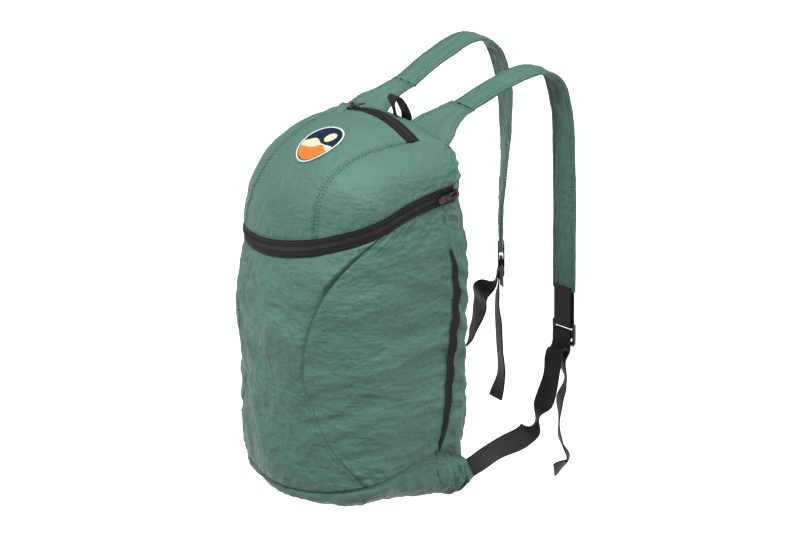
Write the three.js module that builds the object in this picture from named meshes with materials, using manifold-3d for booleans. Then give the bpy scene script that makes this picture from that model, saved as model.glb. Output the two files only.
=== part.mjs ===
// A light daypack of thin ripstop cloth, shaped as it hangs on a wearer's shoulders.
// Millimetres, +Z up. The wearer stands on the +Y side, the main zip's slider is on the +X side.
// Heights inside the bag are measured from the lowest point of its body.
// The finished group is moved so that its origin lies between the two strap arches,
// where they rest on the shoulders.

import * as THREE from 'three';
import { mergeVertices } from 'three/addons/utils/BufferGeometryUtils.js';
import Module from 'manifold-3d';

const wasm = await Module();
wasm.setup();

// Driving dimensions of the bag.
const HALF_WIDTH = 119;
const FRONT_DEPTH = 79;
const BACK_DEPTH = 102;
const CORNER_RADIUS = 16;
const ZIP_FRONT_HEIGHT = 276;
const ZIP_RISE = 66;
const LID_RISE = 120;
const LID_SIDE_FALL = 14;
const SEAM_FRONT_HEIGHT = 17;
const SEAM_SIDE_RISE = 25;
const SEAM_CORNER_RISE = 44;
const LID_SEAM_OFFSET = 64;
const TOP_ZIP_FRONT = 56;
const BACK_EDGE_DROP = 8;
const BACK_TOP_HALF_WIDTH = 95;
const BACK_TOP_DEPTH = 89;

const BOTTOM_ROUND_FRONT = 2.8;
const BOTTOM_ROUND_BACK = 7;
const LID_ROUND_CENTRE = 2.0;
const GORE_FALL = 4;

// Cloth, tape and webbing.
const CLOTH = 1.6;
const STRAP_CLOTH = 2.6;
const TAPE = 1.0;
const WEBBING = 1.5;
const WEBBING_WIDTH = 25;
const SEAM_GAP = 0.5;
const SEAT_GAP = 0.35;
const LID_GAP = 0.7;
const YOKE_SIDE_SHARE = 0.965;
const GORE_EDGE_SHARE = 0.985;

// Zips.
const ZIP_WIDTH = 20;
const COIL_WIDTH = 6;
const COIL_HEIGHT = 1.4;
const SLIDER_LENGTH = 12;
const SLIDER_WIDTH = 8.5;
const SLIDER_PLATE = 2.6;
const ARCH_WALL = 1.3;
const PULL_LENGTH = 21;
const PULL_WIDTH = 7.6;
const PULL_PLATE = 1.5;
const PULL_EYE = 3.2;
const PULL_CLEARANCE = 0.7;

// Badge, side tape and haul loop.
const BADGE_RADIUS = 27.5;
const BADGE_HEIGHT = 1.2;
const BADGE_SETBACK = 83;
const BADGE_RINGS = 3;
const BADGE_SPOKES = 24;
const SIDE_TAPE_WIDTH = 9;
const LOOP_WIDTH = 23;
const LOOP_HEIGHT = 24.2;
const LOOP_GAP = 11;
const LOOP_OFFSET = 6;

// Shoulder straps and adjusters.
const STRAP_WIDTH = 36.5;
const STRAP_END_WIDTH = 33;
const STRAP_SPREAD = 52;
const WING_LENGTH = 47;
const WING_RISE = 14;
const WING_INNER = 19;
const WING_SETBACK = 4.5;
const WING_SAG = 9;
const WING_CROWN = 1.5;
const STRAP_REACH = 134;
const ARCH_RISE = 25;
const STRAP_DROP = 230;
const LEFT_ARCH_EXTRA = 12;
const LEFT_STRAP_SHORTER = 18;
const ANCHOR_LENGTH = 36;
const LEFT_ANCHOR_LENGTH = 13;
const BUCKLE_WIDTH = 33;
const BUCKLE_BAR = 4;
const BUCKLE_SLOT = 6.4;
const BUCKLE_THICKNESS = 3.4;
const TAIL_LENGTH = 142;
const LEFT_TAIL_LENGTH = 132;
const TAB_THICKNESS = 3;
const TAB_REACH = 12;

// Stations count along the bag's outline: 0 front centre, 1 widest point of the side,
// 2 start of the back corner, 3 its end, 4 back centre. The left side counts negative.
const EDGE_STATION = 2.5;
const MAIN_SLIDER_STATION = 2.02;
const TOP_SLIDER_ACROSS = -0.72;

// How finely the faceted cloth is cut.
const BODY_ROWS = 22;
const LID_ROWS = 8;
const FRONT_COLUMNS = 14;
const SIDE_COLUMNS = 7;
const GUSSET_COLUMNS = 4;
const BACK_COLUMNS = 8;
const LID_COLUMNS = 8;
const GORE_COLUMNS = 9;
const BOTTOM_RINGS = 6;

const zipHalf = ZIP_WIDTH / 2;
const topZipBack = TOP_ZIP_FRONT + ZIP_WIDTH;
const lidHeight = ZIP_FRONT_HEIGHT + LID_RISE;
const backEdgeHeight = lidHeight - BACK_EDGE_DROP;

const sides = [{ name: 'right', sign: 1 }, { name: 'left', sign: -1 }];

const finishes = {
  cloth: { color: 0x5f8a7a, roughness: 0.62, metalness: 0 },
  webbing: { color: 0x1d1d1f, roughness: 0.85, metalness: 0 },
  plastic: { color: 0x19191b, roughness: 0.45, metalness: 0 },
  metal: { color: 0x4b3a31, roughness: 0.35, metalness: 0.8 },
  badge: { color: 0x14233c, roughness: 0.6, metalness: 0 },
};

function lerp(from, to, share) {
  return from + (to - from) * share;
}

function smooth(share) {
  const s = Math.min(1, Math.max(0, share));
  return s * s * (3 - 2 * s);
}

// Reads one named column of a table at a share, along a smooth curve through its rows.
function readTable(rows, column, share) {
  const last = rows.length - 1;
  const at = Math.min(rows[last].at, Math.max(rows[0].at, share));
  let i = 0;
  while (i < last - 1 && at > rows[i + 1].at) i += 1;
  const slope = (k) => {
    const low = rows[Math.max(0, k - 1)];
    const high = rows[Math.min(last, k + 1)];
    return (high[column] - low[column]) / (high.at - low.at);
  };
  const width = rows[i + 1].at - rows[i].at;
  const t = (at - rows[i].at) / width;
  const a = rows[i][column];
  const b = rows[i + 1][column];
  const t2 = t * t;
  const t3 = t2 * t;
  return a * (2 * t3 - 3 * t2 + 1) + slope(i) * width * (t3 - 2 * t2 + t)
    + b * (3 * t2 - 2 * t3) + slope(i + 1) * width * (t3 - t2);
}

// Collects the corners and faces of one closed body.
class Draft {
  constructor() {
    this.corners = [];
    this.faces = [];
  }

  corner(point) {
    this.corners.push(point.x, point.y, point.z);
    return this.corners.length / 3 - 1;
  }

  quad(a, b, c, d) {
    this.faces.push(a, b, c, a, c, d);
  }

  triangle(a, b, c) {
    this.faces.push(a, b, c);
  }

  volume() {
    let sum = 0;
    const p = this.corners;
    for (let f = 0; f < this.faces.length; f += 3) {
      const [a, b, c] = [this.faces[f] * 3, this.faces[f + 1] * 3, this.faces[f + 2] * 3];
      sum += p[a] * (p[b + 1] * p[c + 2] - p[b + 2] * p[c + 1])
        + p[a + 1] * (p[b + 2] * p[c] - p[b] * p[c + 2])
        + p[a + 2] * (p[b] * p[c + 1] - p[b + 1] * p[c]);
    }
    return sum / 6;
  }

  geometry() {
    if (this.volume() < 0) {
      for (let f = 0; f < this.faces.length; f += 3) {
        [this.faces[f + 1], this.faces[f + 2]] = [this.faces[f + 2], this.faces[f + 1]];
      }
    }
    const geometry = new THREE.BufferGeometry();
    geometry.setAttribute('position', new THREE.Float32BufferAttribute(this.corners, 3));
    geometry.setIndex(this.faces);
    return geometry;
  }
}

// A wall between two grids of points. Each grid is a function of a row and a column.
function wallBetween(rows, columns, outer, inner) {
  const draft = new Draft();
  const grid = (at) => Array.from({ length: rows + 1 }, (_, r) => (
    Array.from({ length: columns + 1 }, (_, c) => draft.corner(at(r, c)))));
  const o = grid(outer);
  const n = grid(inner);
  for (let r = 0; r < rows; r += 1) {
    for (let c = 0; c < columns; c += 1) {
      draft.quad(o[r][c], o[r][c + 1], o[r + 1][c + 1], o[r + 1][c]);
      draft.quad(n[r][c], n[r + 1][c], n[r + 1][c + 1], n[r][c + 1]);
    }
    draft.quad(o[r][0], o[r + 1][0], n[r + 1][0], n[r][0]);
    draft.quad(o[r][columns], n[r][columns], n[r + 1][columns], o[r + 1][columns]);
  }
  for (let c = 0; c < columns; c += 1) {
    draft.quad(o[0][c], n[0][c], n[0][c + 1], o[0][c + 1]);
    draft.quad(o[rows][c], o[rows][c + 1], n[rows][c + 1], n[rows][c]);
  }
  return draft.geometry();
}

// The direction square to a surface, from two small steps across it.
function normalOf(surface, a, b, step = 0.004) {
  const alongA = surface(a + step, b).sub(surface(a - step, b));
  const alongB = surface(a, b + step).sub(surface(a, b - step));
  return alongA.cross(alongB).normalize();
}

// A cloth wall on a surface given by two parameters, thickened inward from it.
function clothPanel(rows, columns, surface, place, wall, lift = 0, outward = 1) {
  const sample = (r, c) => {
    const [a, b] = place(r, c);
    return { point: surface(a, b), normal: normalOf(surface, a, b).multiplyScalar(outward) };
  };
  const cells = Array.from({ length: rows + 1 }, (_, r) => (
    Array.from({ length: columns + 1 }, (_, c) => sample(r, c))));
  const move = (cell, distance) => cell.point.clone().addScaledVector(cell.normal, distance);
  return wallBetween(
    rows,
    columns,
    (r, c) => move(cells[r][c], lift),
    (r, c) => move(cells[r][c], lift - wall),
  );
}

// The bag's outline seen from above, at one station.
function outline(station, halfWidth, frontDepth, backDepth) {
  const side = Math.sign(station) || 1;
  const s = Math.abs(station);
  const r = CORNER_RADIUS;
  if (s <= 1) {
    const turn = s * Math.PI / 2;
    return new THREE.Vector2(side * halfWidth * Math.sin(turn), -frontDepth * Math.cos(turn));
  }
  if (s <= 2) return new THREE.Vector2(side * halfWidth, (backDepth - r) * (s - 1));
  if (s <= 3) {
    const turn = (s - 2) * Math.PI / 2;
    return new THREE.Vector2(
      side * (halfWidth - r + r * Math.cos(turn)),
      backDepth - r + r * Math.sin(turn),
    );
  }
  return new THREE.Vector2(side * (halfWidth - r) * (4 - s), backDepth);
}

// The body's width and depth from the bottom seam up to the zip, as shares of the driving sizes.
const bodyShape = [
  { at: 0.00, width: 0.955, front: 0.880, back: 0.985 },
  { at: 0.10, width: 0.985, front: 0.935, back: 0.990 },
  { at: 0.24, width: 0.985, front: 0.925, back: 1.000 },
  { at: 0.36, width: 0.980, front: 0.905, back: 1.000 },
  { at: 0.56, width: 1.000, front: 0.985, back: 1.000 },
  { at: 0.72, width: 1.000, front: 1.000, back: 1.000 },
  { at: 0.88, width: 0.985, front: 0.930, back: 0.950 },
  { at: 1.00, width: 0.965, front: 0.815, back: 0.905 },
];

// The band of the zip stands a little proud of the body below it.
const zipShape = { width: 0.975, front: 0.860, back: 0.910 };

// The curved seam between front and side, as a station at each share of the body's height.
const curvedSeam = [
  { at: 0.00, station: 0.772 },
  { at: 0.18, station: 0.507 },
  { at: 0.32, station: 0.382 },
  { at: 0.43, station: 0.322 },
  { at: 0.52, station: 0.304 },
  { at: 0.62, station: 0.338 },
  { at: 0.74, station: 0.397 },
  { at: 0.86, station: 0.507 },
  { at: 0.95, station: 0.690 },
  { at: 1.00, station: 0.900 },
];

// The zip's rise by station, as a share of its full rise. The bag sags a little to its left.
const zipLine = [
  { at: -2.50, rise: 0.42 },
  { at: -1.70, rise: 0.24 },
  { at: -1.00, rise: 0.02 },
  { at: -0.55, rise: -0.11 },
  { at: -0.25, rise: -0.08 },
  { at: 0.00, rise: 0.01 },
  { at: 0.30, rise: 0.20 },
  { at: 0.60, rise: 0.43 },
  { at: 1.00, rise: 0.68 },
  { at: 1.50, rise: 0.86 },
  { at: 2.50, rise: 1.02 },
];

function zipHeight(station) {
  return ZIP_FRONT_HEIGHT + ZIP_RISE * readTable(zipLine, 'rise', station);
}

function bottomSeamHeight(station) {
  const s = Math.abs(station);
  const toSide = SEAM_SIDE_RISE * smooth(s / 1.2);
  const toCorner = (SEAM_CORNER_RISE - SEAM_SIDE_RISE) * smooth((s - 0.9) / 1.1);
  const toBack = (SEAM_CORNER_RISE - SEAM_SIDE_RISE) * smooth((s - 2.4) / 1.6);
  return SEAM_FRONT_HEIGHT + toSide + toCorner - toBack;
}

// Folds of the body cloth: how far it stands out from its plain shape.
// Each row is a family of ripples round a station, over a band of the height.
const bodyFolds = [
  { station: 2.20, reach: 0.55, low: 0.02, high: 0.98, ripples: 8.5, depth: 2.4, slant: 0.9 },
  { station: 1.50, reach: 0.60, low: 0.05, high: 0.97, ripples: 7.0, depth: 1.0, slant: 0.4 },
  { station: 0.55, reach: 0.50, low: 0.02, high: 0.55, ripples: 5.0, depth: 0.9, slant: -1.2 },
  { station: 0.00, reach: 0.50, low: 0.10, high: 0.95, ripples: 3.0, depth: 1.3, slant: 1.5 },
];

// The side tape bows towards the back at half height.
const tapeLine = [
  { at: 0.00, station: 1.74 },
  { at: 0.25, station: 1.85 },
  { at: 0.55, station: 1.92 },
  { at: 1.00, station: 1.86 },
];

function tapeStation(share) {
  return readTable(tapeLine, 'station', share);
}

function foldDepth(station, share) {
  const s = Math.abs(station);
  let depth = 0;
  for (const fold of bodyFolds) {
    const near = 1 - Math.min(1, Math.abs(s - fold.station) / fold.reach);
    const band = (share - fold.low) / (fold.high - fold.low);
    if (near > 0 && band > 0 && band < 1) {
      const wave = Math.sin(2 * Math.PI * (fold.ripples * band + fold.slant * (s - fold.station)));
      depth += fold.depth * smooth(near) * Math.sin(Math.PI * band) * wave;
    }
  }
  return depth;
}

function bodyPlain(station, share) {
  const flat = outline(
    station,
    HALF_WIDTH * readTable(bodyShape, 'width', share),
    FRONT_DEPTH * readTable(bodyShape, 'front', share),
    BACK_DEPTH * readTable(bodyShape, 'back', share),
  );
  const top = zipHeight(station) - zipHalf - SEAM_GAP;
  return new THREE.Vector3(flat.x, flat.y, lerp(bottomSeamHeight(station), top, share));
}

// The body's outer surface by station and share of height, with its folds.
function bodySurface(station, share) {
  const plain = bodyPlain(station, share);
  const outward = new THREE.Vector3(plain.x, plain.y, 0).normalize();
  return plain.addScaledVector(outward, foldDepth(station, share));
}

function zipSurface(station, share) {
  const flat = outline(
    station,
    HALF_WIDTH * zipShape.width,
    FRONT_DEPTH * zipShape.front,
    BACK_DEPTH * zipShape.back,
  );
  return new THREE.Vector3(flat.x, flat.y, zipHeight(station) + ZIP_WIDTH * (share - 0.5));
}

// Height of the bag's crest over the line of the top zip, at a distance from the middle.
function crestHeight(x) {
  return lidHeight - LID_SIDE_FALL * (x / LID_SEAM_OFFSET) ** 2;
}

function lidColumn(base, top, round) {
  return (share) => {
    const turn = Math.min(1, Math.max(0, share)) * Math.PI / 2;
    const inward = 1 - Math.cos(turn) ** (2 / round);
    const upward = Math.sin(turn) ** (2 / round);
    return new THREE.Vector3(
      lerp(base.x, top.x, inward),
      lerp(base.y, top.y, inward),
      lerp(base.z, top.z, upward),
    );
  };
}

function lidBase(station) {
  const base = zipSurface(station, 1);
  base.z += LID_GAP;
  return base;
}

// How square the lid's arc is at its seams and at the back corners.
const lidRound = {
  right: { seam: 3.0, corner: 2.4 },
  left: { seam: 1.9, corner: 2.6 },
};

function seamStation(x) {
  return Math.asin(x / (HALF_WIDTH * zipShape.width)) / (Math.PI / 2);
}

function lidSurface(across, share) {
  const x = across * LID_SEAM_OFFSET;
  const top = new THREE.Vector3(x, TOP_ZIP_FRONT - SEAM_GAP, crestHeight(x));
  const seamRound = (across < 0 ? lidRound.left : lidRound.right).seam;
  const round = lerp(LID_ROUND_CENTRE, seamRound, Math.abs(across) ** 1.5);
  return lidColumn(lidBase(seamStation(x)), top, round)(share);
}

// The upper edge of a gore turns from the end of the top zip to the back corner.
function goreTop(share) {
  const zipEnd = topZipBack / (topZipBack + BACK_TOP_HALF_WIDTH);
  const inner = LID_SEAM_OFFSET + SEAM_GAP;
  const height = crestHeight(LID_SEAM_OFFSET);
  if (share < zipEnd) {
    return new THREE.Vector3(inner, lerp(TOP_ZIP_FRONT, topZipBack, share / zipEnd), height);
  }
  const t = (share - zipEnd) / (1 - zipEnd);
  return new THREE.Vector3(
    lerp(inner, BACK_TOP_HALF_WIDTH, t),
    lerp(topZipBack, BACK_TOP_DEPTH, t),
    height - GORE_FALL * t,
  );
}

const seamEdge = seamStation(LID_SEAM_OFFSET);

function goreSurface(side, share, up) {
  const base = lidBase(side.sign * lerp(seamEdge, EDGE_STATION, share));
  const top = goreTop(share);
  top.x *= side.sign;
  const round = lerp(lidRound[side.name].seam, lidRound[side.name].corner, share);
  const point = lidColumn(base, top, round)(up);
  point.x += side.sign * SEAM_GAP / 2;
  return point;
}

const bag = new THREE.Group();

function addMesh(name, geometry, look, parent = bag) {
  const mesh = new THREE.Mesh(geometry, new THREE.MeshStandardMaterial(finishes[look]));
  mesh.name = name;
  parent.add(mesh);
  return mesh;
}

// Half the seam's gap, counted in stations at one place of the outline.
function stationGap(station) {
  const step = 0.002;
  const at = (s) => outline(s, HALF_WIDTH, FRONT_DEPTH, BACK_DEPTH);
  const speed = at(station + step).distanceTo(at(station - step)) / (2 * step);
  return SEAM_GAP / 2 / speed;
}

// Body panels between the bottom seam and the zip.
function bodyPanel(name, columns, fromStation, toStation) {
  const place = (r, c) => {
    const share = r / BODY_ROWS;
    const from = fromStation(share) + stationGap(fromStation(share));
    const to = toStation(share) - stationGap(toStation(share));
    return [lerp(from, to, c / columns), share];
  };
  addMesh(name, clothPanel(BODY_ROWS, columns, bodySurface, place, CLOTH), 'cloth');
}

function addBody() {
  const seam = (share) => readTable(curvedSeam, 'station', share);
  bodyPanel('front_panel', FRONT_COLUMNS, (h) => -seam(h), seam);
  bodyPanel('side_panel_right', SIDE_COLUMNS, seam, tapeStation);
  bodyPanel('side_panel_left', SIDE_COLUMNS, (h) => -tapeStation(h), (h) => -seam(h));
  bodyPanel('side_gusset_right', GUSSET_COLUMNS, tapeStation, () => EDGE_STATION);
  bodyPanel('side_gusset_left', GUSSET_COLUMNS, () => -EDGE_STATION, (h) => -tapeStation(h));
}

// The zip band and the body panels share these stations round the bag.
function ringStations(share) {
  const seam = readTable(curvedSeam, 'station', share);
  const tape = tapeStation(share);
  const spans = [
    [-EDGE_STATION, -tape, GUSSET_COLUMNS],
    [-tape, -seam, SIDE_COLUMNS],
    [-seam, seam, FRONT_COLUMNS],
    [seam, tape, SIDE_COLUMNS],
    [tape, EDGE_STATION, GUSSET_COLUMNS],
  ];
  const stations = [-EDGE_STATION];
  for (const [from, to, count] of spans) {
    for (let i = 1; i <= count; i += 1) stations.push(lerp(from, to, i / count));
  }
  return stations;
}

// The back panel: along the body, past the zip's ends, then up to the top edge.
// Each row is an outline whose corner meets the neighbouring panel's edge.
const cornerInset = CORNER_RADIUS * (1 - Math.SQRT1_2);

function backEdge(side, up) {
  const bodyPart = 0.72;
  const zipPart = 0.78;
  const station = side.sign * EDGE_STATION;
  if (up < bodyPart) return bodySurface(station, up / bodyPart);
  if (up < zipPart) {
    const low = bodySurface(station, 1);
    return low.lerp(goreSurface(side, 1, 0), (up - bodyPart) / (zipPart - bodyPart));
  }
  return goreSurface(side, 1, (up - zipPart) / (1 - zipPart));
}

function backSurface(station, up) {
  const edge = backEdge(station > 0 ? sides[0] : sides[1], up);
  const flat = outline(station, Math.abs(edge.x) + cornerInset, FRONT_DEPTH, edge.y + cornerInset);
  const rise = smooth((Math.abs(station) - EDGE_STATION) / (4 - EDGE_STATION));
  const middle = lerp(bottomSeamHeight(4), backEdgeHeight, up);
  return new THREE.Vector3(flat.x, flat.y, lerp(edge.z, middle, rise));
}

// The middle of the back belongs to both sides, so it is read a hair to the right.
const MIDDLE = 1e-6;

function backStation(v, up) {
  const gap = stationGap(EDGE_STATION) * (1 + 6 * up ** 4);
  const station = lerp(4, EDGE_STATION + gap, Math.abs(v) ** 1.4);
  return v > 0 ? station : -station;
}

// A point of the back by its share of the way from the middle to the side, 1 at the right.
function backPoint(v, up) {
  return backSurface(backStation(v, up), up);
}

function addBack() {
  const rows = BODY_ROWS + 8;
  const place = (r, c) => {
    const v = 1 - 2 * c / BACK_COLUMNS;
    return [v === 0 ? MIDDLE : v, r / rows];
  };
  addMesh('back_panel', clothPanel(rows, BACK_COLUMNS, backPoint, place, CLOTH, 0, -1), 'cloth');
}

// The bottom falls from its seam to a rounded floor, in rings that close at the middle.
// It is rounder at the front than at the square back corners.
function bottomRound(start) {
  return lerp(BOTTOM_ROUND_FRONT, BOTTOM_ROUND_BACK, smooth(start.y / BACK_DEPTH));
}

function bottomPoint(start, share, inset) {
  const turn = share * Math.PI / 2;
  const round = bottomRound(start);
  const inward = Math.cos(turn) ** (2 / round);
  const down = Math.sin(turn) ** (2 / round);
  const fall = start.z - inset;
  return new THREE.Vector3(start.x * inward, start.y * inward, start.z - fall * down);
}

function bottomRing() {
  const points = ringStations(0).map((s) => bodyPlain(s, 0));
  const columns = BACK_COLUMNS;
  for (let c = 1; c < columns; c += 1) points.push(backPoint(1 - 2 * c / columns, 0));
  return points;
}

function addBottom() {
  const ring = bottomRing();
  const draft = new Draft();
  const layer = (wall) => {
    const rows = [];
    for (let r = 0; r < BOTTOM_RINGS; r += 1) {
      rows.push(ring.map((start) => {
        const rim = start.clone();
        rim.z -= SEAM_GAP;
        const reach = 1 - wall / Math.hypot(rim.x, rim.y);
        const inner = new THREE.Vector3(rim.x * reach, rim.y * reach, rim.z);
        return draft.corner(bottomPoint(inner, r / BOTTOM_RINGS, wall));
      }));
    }
    return { rows, centre: draft.corner(new THREE.Vector3(0, 0, wall)) };
  };
  const outer = layer(0);
  const inner = layer(CLOTH);
  const count = ring.length;
  for (let c = 0; c < count; c += 1) {
    const d = (c + 1) % count;
    for (let r = 0; r < BOTTOM_RINGS - 1; r += 1) {
      draft.quad(outer.rows[r][c], outer.rows[r + 1][c], outer.rows[r + 1][d], outer.rows[r][d]);
      draft.quad(inner.rows[r][c], inner.rows[r][d], inner.rows[r + 1][d], inner.rows[r + 1][c]);
    }
    const last = BOTTOM_RINGS - 1;
    draft.triangle(outer.rows[last][c], outer.centre, outer.rows[last][d]);
    draft.triangle(inner.rows[last][c], inner.rows[last][d], inner.centre);
    draft.quad(outer.rows[0][c], outer.rows[0][d], inner.rows[0][d], inner.rows[0][c]);
  }
  addMesh('bottom_panel', draft.geometry(), 'cloth');
}

// The lid: a centre piece between two seams, and a gore on each side.
function addLid() {
  const share = (r) => r / LID_ROWS;
  const edge = SEAM_GAP / 2 / LID_SEAM_OFFSET;
  const centre = (r, c) => [lerp(-1 + edge, 1 - edge, c / LID_COLUMNS), share(r)];
  addMesh('lid_panel', clothPanel(LID_ROWS, LID_COLUMNS, lidSurface, centre, CLOTH), 'cloth');
  for (const side of sides) {
    const surface = (a, b) => goreSurface(side, a, b);
    const place = (r, c) => [c / GORE_COLUMNS * GORE_EDGE_SHARE, share(r)];
    const gore = clothPanel(LID_ROWS, GORE_COLUMNS, surface, place, CLOTH, 0, side.sign);
    addMesh(`lid_gore_${side.name}`, gore, 'cloth');
  }
}

// The yoke closes the top between the short zip and the back edge.
function yokeSurface(across, share) {
  const x = across * (LID_SEAM_OFFSET - SEAM_GAP / 2);
  const front = new THREE.Vector3(x, topZipBack + LID_GAP, crestHeight(x));
  const back = backPoint(across === 0 ? MIDDLE : across * GORE_EDGE_SHARE, 1);
  back.x *= YOKE_SIDE_SHARE;
  back.y -= CLOTH + SEAM_GAP;
  return front.lerp(back, share);
}

function addYoke() {
  const place = (r, c) => [lerp(-1, 1, c / BACK_COLUMNS), r / 2];
  addMesh('yoke', clothPanel(2, BACK_COLUMNS, yokeSurface, place, CLOTH), 'cloth');
}

// Zips: a tape set into the opening, and a raised coil down its middle.
function addMainZip() {
  const stations = ringStations(1);
  const rows = stations.length - 1;
  const tape = (r, c) => [stations[r], c];
  const band = clothPanel(rows, 1, zipSurface, tape, TAPE, 0, 1);
  addMesh('main_zip_tape', band, 'webbing');
  const clear = (SLIDER_LENGTH / 2 + 2) / (BACK_DEPTH * zipShape.back - CORNER_RADIUS);
  const end = MAIN_SLIDER_STATION - clear;
  const kept = stations.filter((s) => s < end - 0.05 && s > -EDGE_STATION + 0.05);
  kept.push(end);
  const half = COIL_WIDTH / ZIP_WIDTH / 2;
  const coil = (r, c) => [kept[r], 0.5 + (c === 0 ? -half : half)];
  const lift = SEAT_GAP + COIL_HEIGHT;
  const ridge = clothPanel(kept.length - 1, 1, zipSurface, coil, COIL_HEIGHT, lift, 1);
  addMesh('main_zip_coil', ridge, 'plastic');
}

function topZipSurface(across, share) {
  const x = across * (LID_SEAM_OFFSET - SEAM_GAP);
  return new THREE.Vector3(x, TOP_ZIP_FRONT + ZIP_WIDTH * share, crestHeight(x));
}

function addTopZip() {
  const columns = 10;
  const tape = (r, c) => [lerp(-1, 1, r / columns), c];
  addMesh('top_zip_tape', clothPanel(columns, 1, topZipSurface, tape, TAPE), 'webbing');
  const from = TOP_SLIDER_ACROSS + (SLIDER_LENGTH / 2 + 1) / LID_SEAM_OFFSET;
  const half = COIL_WIDTH / ZIP_WIDTH / 2;
  const coil = (r, c) => [lerp(from, 0.97, r / columns), 0.5 + (c === 0 ? -half : half)];
  const lift = SEAT_GAP + COIL_HEIGHT;
  const ridge = clothPanel(columns, 1, topZipSurface, coil, COIL_HEIGHT, lift);
  addMesh('top_zip_coil', ridge, 'plastic');
}

// A closed body that can be joined to another.
function solidOf(geometry) {
  const plain = geometry.clone();
  plain.deleteAttribute('normal');
  plain.deleteAttribute('uv');
  const merged = mergeVertices(plain, 1e-4);
  return new wasm.Manifold(new wasm.Mesh({
    numProp: 3,
    vertProperties: new Float32Array(merged.attributes.position.array),
    triVerts: new Uint32Array(merged.index.array),
  }));
}

function geometryOf(solid) {
  const mesh = solid.getMesh();
  const geometry = new THREE.BufferGeometry();
  geometry.setAttribute('position', new THREE.BufferAttribute(mesh.vertProperties, 3));
  geometry.setIndex(new THREE.BufferAttribute(mesh.triVerts, 1));
  return geometry;
}

// The slider is a plate with an arch along it. The pull's cross bar turns under the arch.
const TUNNEL = PULL_PLATE * Math.SQRT2 + PULL_CLEARANCE;
const PULL_AXIS_HEIGHT = SLIDER_PLATE + TUNNEL / 2;

function sliderGeometry() {
  const plate = new THREE.BoxGeometry(SLIDER_LENGTH, SLIDER_WIDTH, SLIDER_PLATE);
  plate.translate(0, 0, SLIDER_PLATE / 2);
  const half = TUNNEL / 2 + ARCH_WALL;
  const profile = new THREE.Shape([
    new THREE.Vector2(-half, SLIDER_PLATE / 2),
    new THREE.Vector2(half, SLIDER_PLATE / 2),
    new THREE.Vector2(half, SLIDER_PLATE + TUNNEL + ARCH_WALL * 0.4),
    new THREE.Vector2(half - ARCH_WALL * 0.6, SLIDER_PLATE + TUNNEL + ARCH_WALL),
    new THREE.Vector2(-half + ARCH_WALL * 0.6, SLIDER_PLATE + TUNNEL + ARCH_WALL),
    new THREE.Vector2(-half, SLIDER_PLATE + TUNNEL + ARCH_WALL * 0.4),
  ]);
  const tunnel = new THREE.Path([
    new THREE.Vector2(-TUNNEL / 2, SLIDER_PLATE),
    new THREE.Vector2(-TUNNEL / 2, SLIDER_PLATE + TUNNEL),
    new THREE.Vector2(TUNNEL / 2, SLIDER_PLATE + TUNNEL),
    new THREE.Vector2(TUNNEL / 2, SLIDER_PLATE),
  ]);
  profile.holes.push(tunnel);
  const width = PULL_EYE - PULL_CLEARANCE * 2;
  const arch = new THREE.ExtrudeGeometry(profile, { depth: width, bevelEnabled: false });
  arch.rotateX(Math.PI / 2);
  arch.translate(0, width / 2, 0);
  return geometryOf(solidOf(plate).add(solidOf(arch)));
}

// The pull lies along the zip. Its window passes round the arch.
function pullGeometry() {
  const bar = PULL_PLATE / 2;
  const reach = Math.hypot(TUNNEL / 2 + ARCH_WALL, TUNNEL / 2 + ARCH_WALL) + PULL_CLEARANCE;
  const half = PULL_WIDTH / 2;
  const shape = new THREE.Shape();
  shape.moveTo(-bar, -half);
  shape.lineTo(PULL_LENGTH - half, -half);
  shape.absarc(PULL_LENGTH - half, 0, half, -Math.PI / 2, Math.PI / 2, false);
  shape.lineTo(-bar, half);
  shape.closePath();
  const eye = PULL_EYE / 2;
  shape.holes.push(new THREE.Path([
    new THREE.Vector2(bar, -eye),
    new THREE.Vector2(bar, eye),
    new THREE.Vector2(reach, eye),
    new THREE.Vector2(reach, -eye),
  ]));
  const settings = { depth: PULL_PLATE, bevelEnabled: false, curveSegments: 6 };
  const pull = new THREE.ExtrudeGeometry(shape, settings);
  pull.translate(0, 0, -PULL_PLATE / 2);
  return pull;
}

// Stands a slider and its pull on a zip: along, across and outward give its axes.
function addSlider(name, seat, along, outward) {
  const across = outward.clone().cross(along).normalize();
  const holder = new THREE.Group();
  const axes = new THREE.Matrix4().makeBasis(along, across, outward);
  holder.setRotationFromMatrix(axes);
  holder.position.copy(seat.clone().addScaledVector(outward, SEAT_GAP));
  bag.add(holder);
  addMesh(`${name}_slider`, sliderGeometry(), 'metal', holder);
  const pull = addMesh(`${name}_tab`, pullGeometry(), 'metal', holder);
  pull.position.set(0, 0, PULL_AXIS_HEIGHT);
}

function addSliders() {
  const mainSeat = zipSurface(MAIN_SLIDER_STATION, 0.5);
  const before = zipSurface(MAIN_SLIDER_STATION - 0.05, 0.5);
  const along = before.clone().sub(mainSeat).normalize();
  const outward = new THREE.Vector3(1, 0, 0);
  along.addScaledVector(outward, -along.dot(outward)).normalize();
  addSlider('main_zip', mainSeat, along, outward);
  const topSeat = topZipSurface(TOP_SLIDER_ACROSS, 0.5);
  const next = topZipSurface(TOP_SLIDER_ACROSS + 0.02, 0.5);
  const alongTop = next.sub(topSeat).normalize();
  const up = alongTop.clone().cross(new THREE.Vector3(0, 1, 0)).normalize();
  addSlider('top_zip', topSeat, alongTop, up);
}

// The badge is a round patch sewn on the lid, following its curve.
function lidShareAt(x, y) {
  let low = 0.02;
  let high = 1;
  for (let i = 0; i < 24; i += 1) {
    const half = (low + high) / 2;
    if (lidSurface(x / LID_SEAM_OFFSET, half).y < y) low = half;
    else high = half;
  }
  return low;
}

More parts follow.
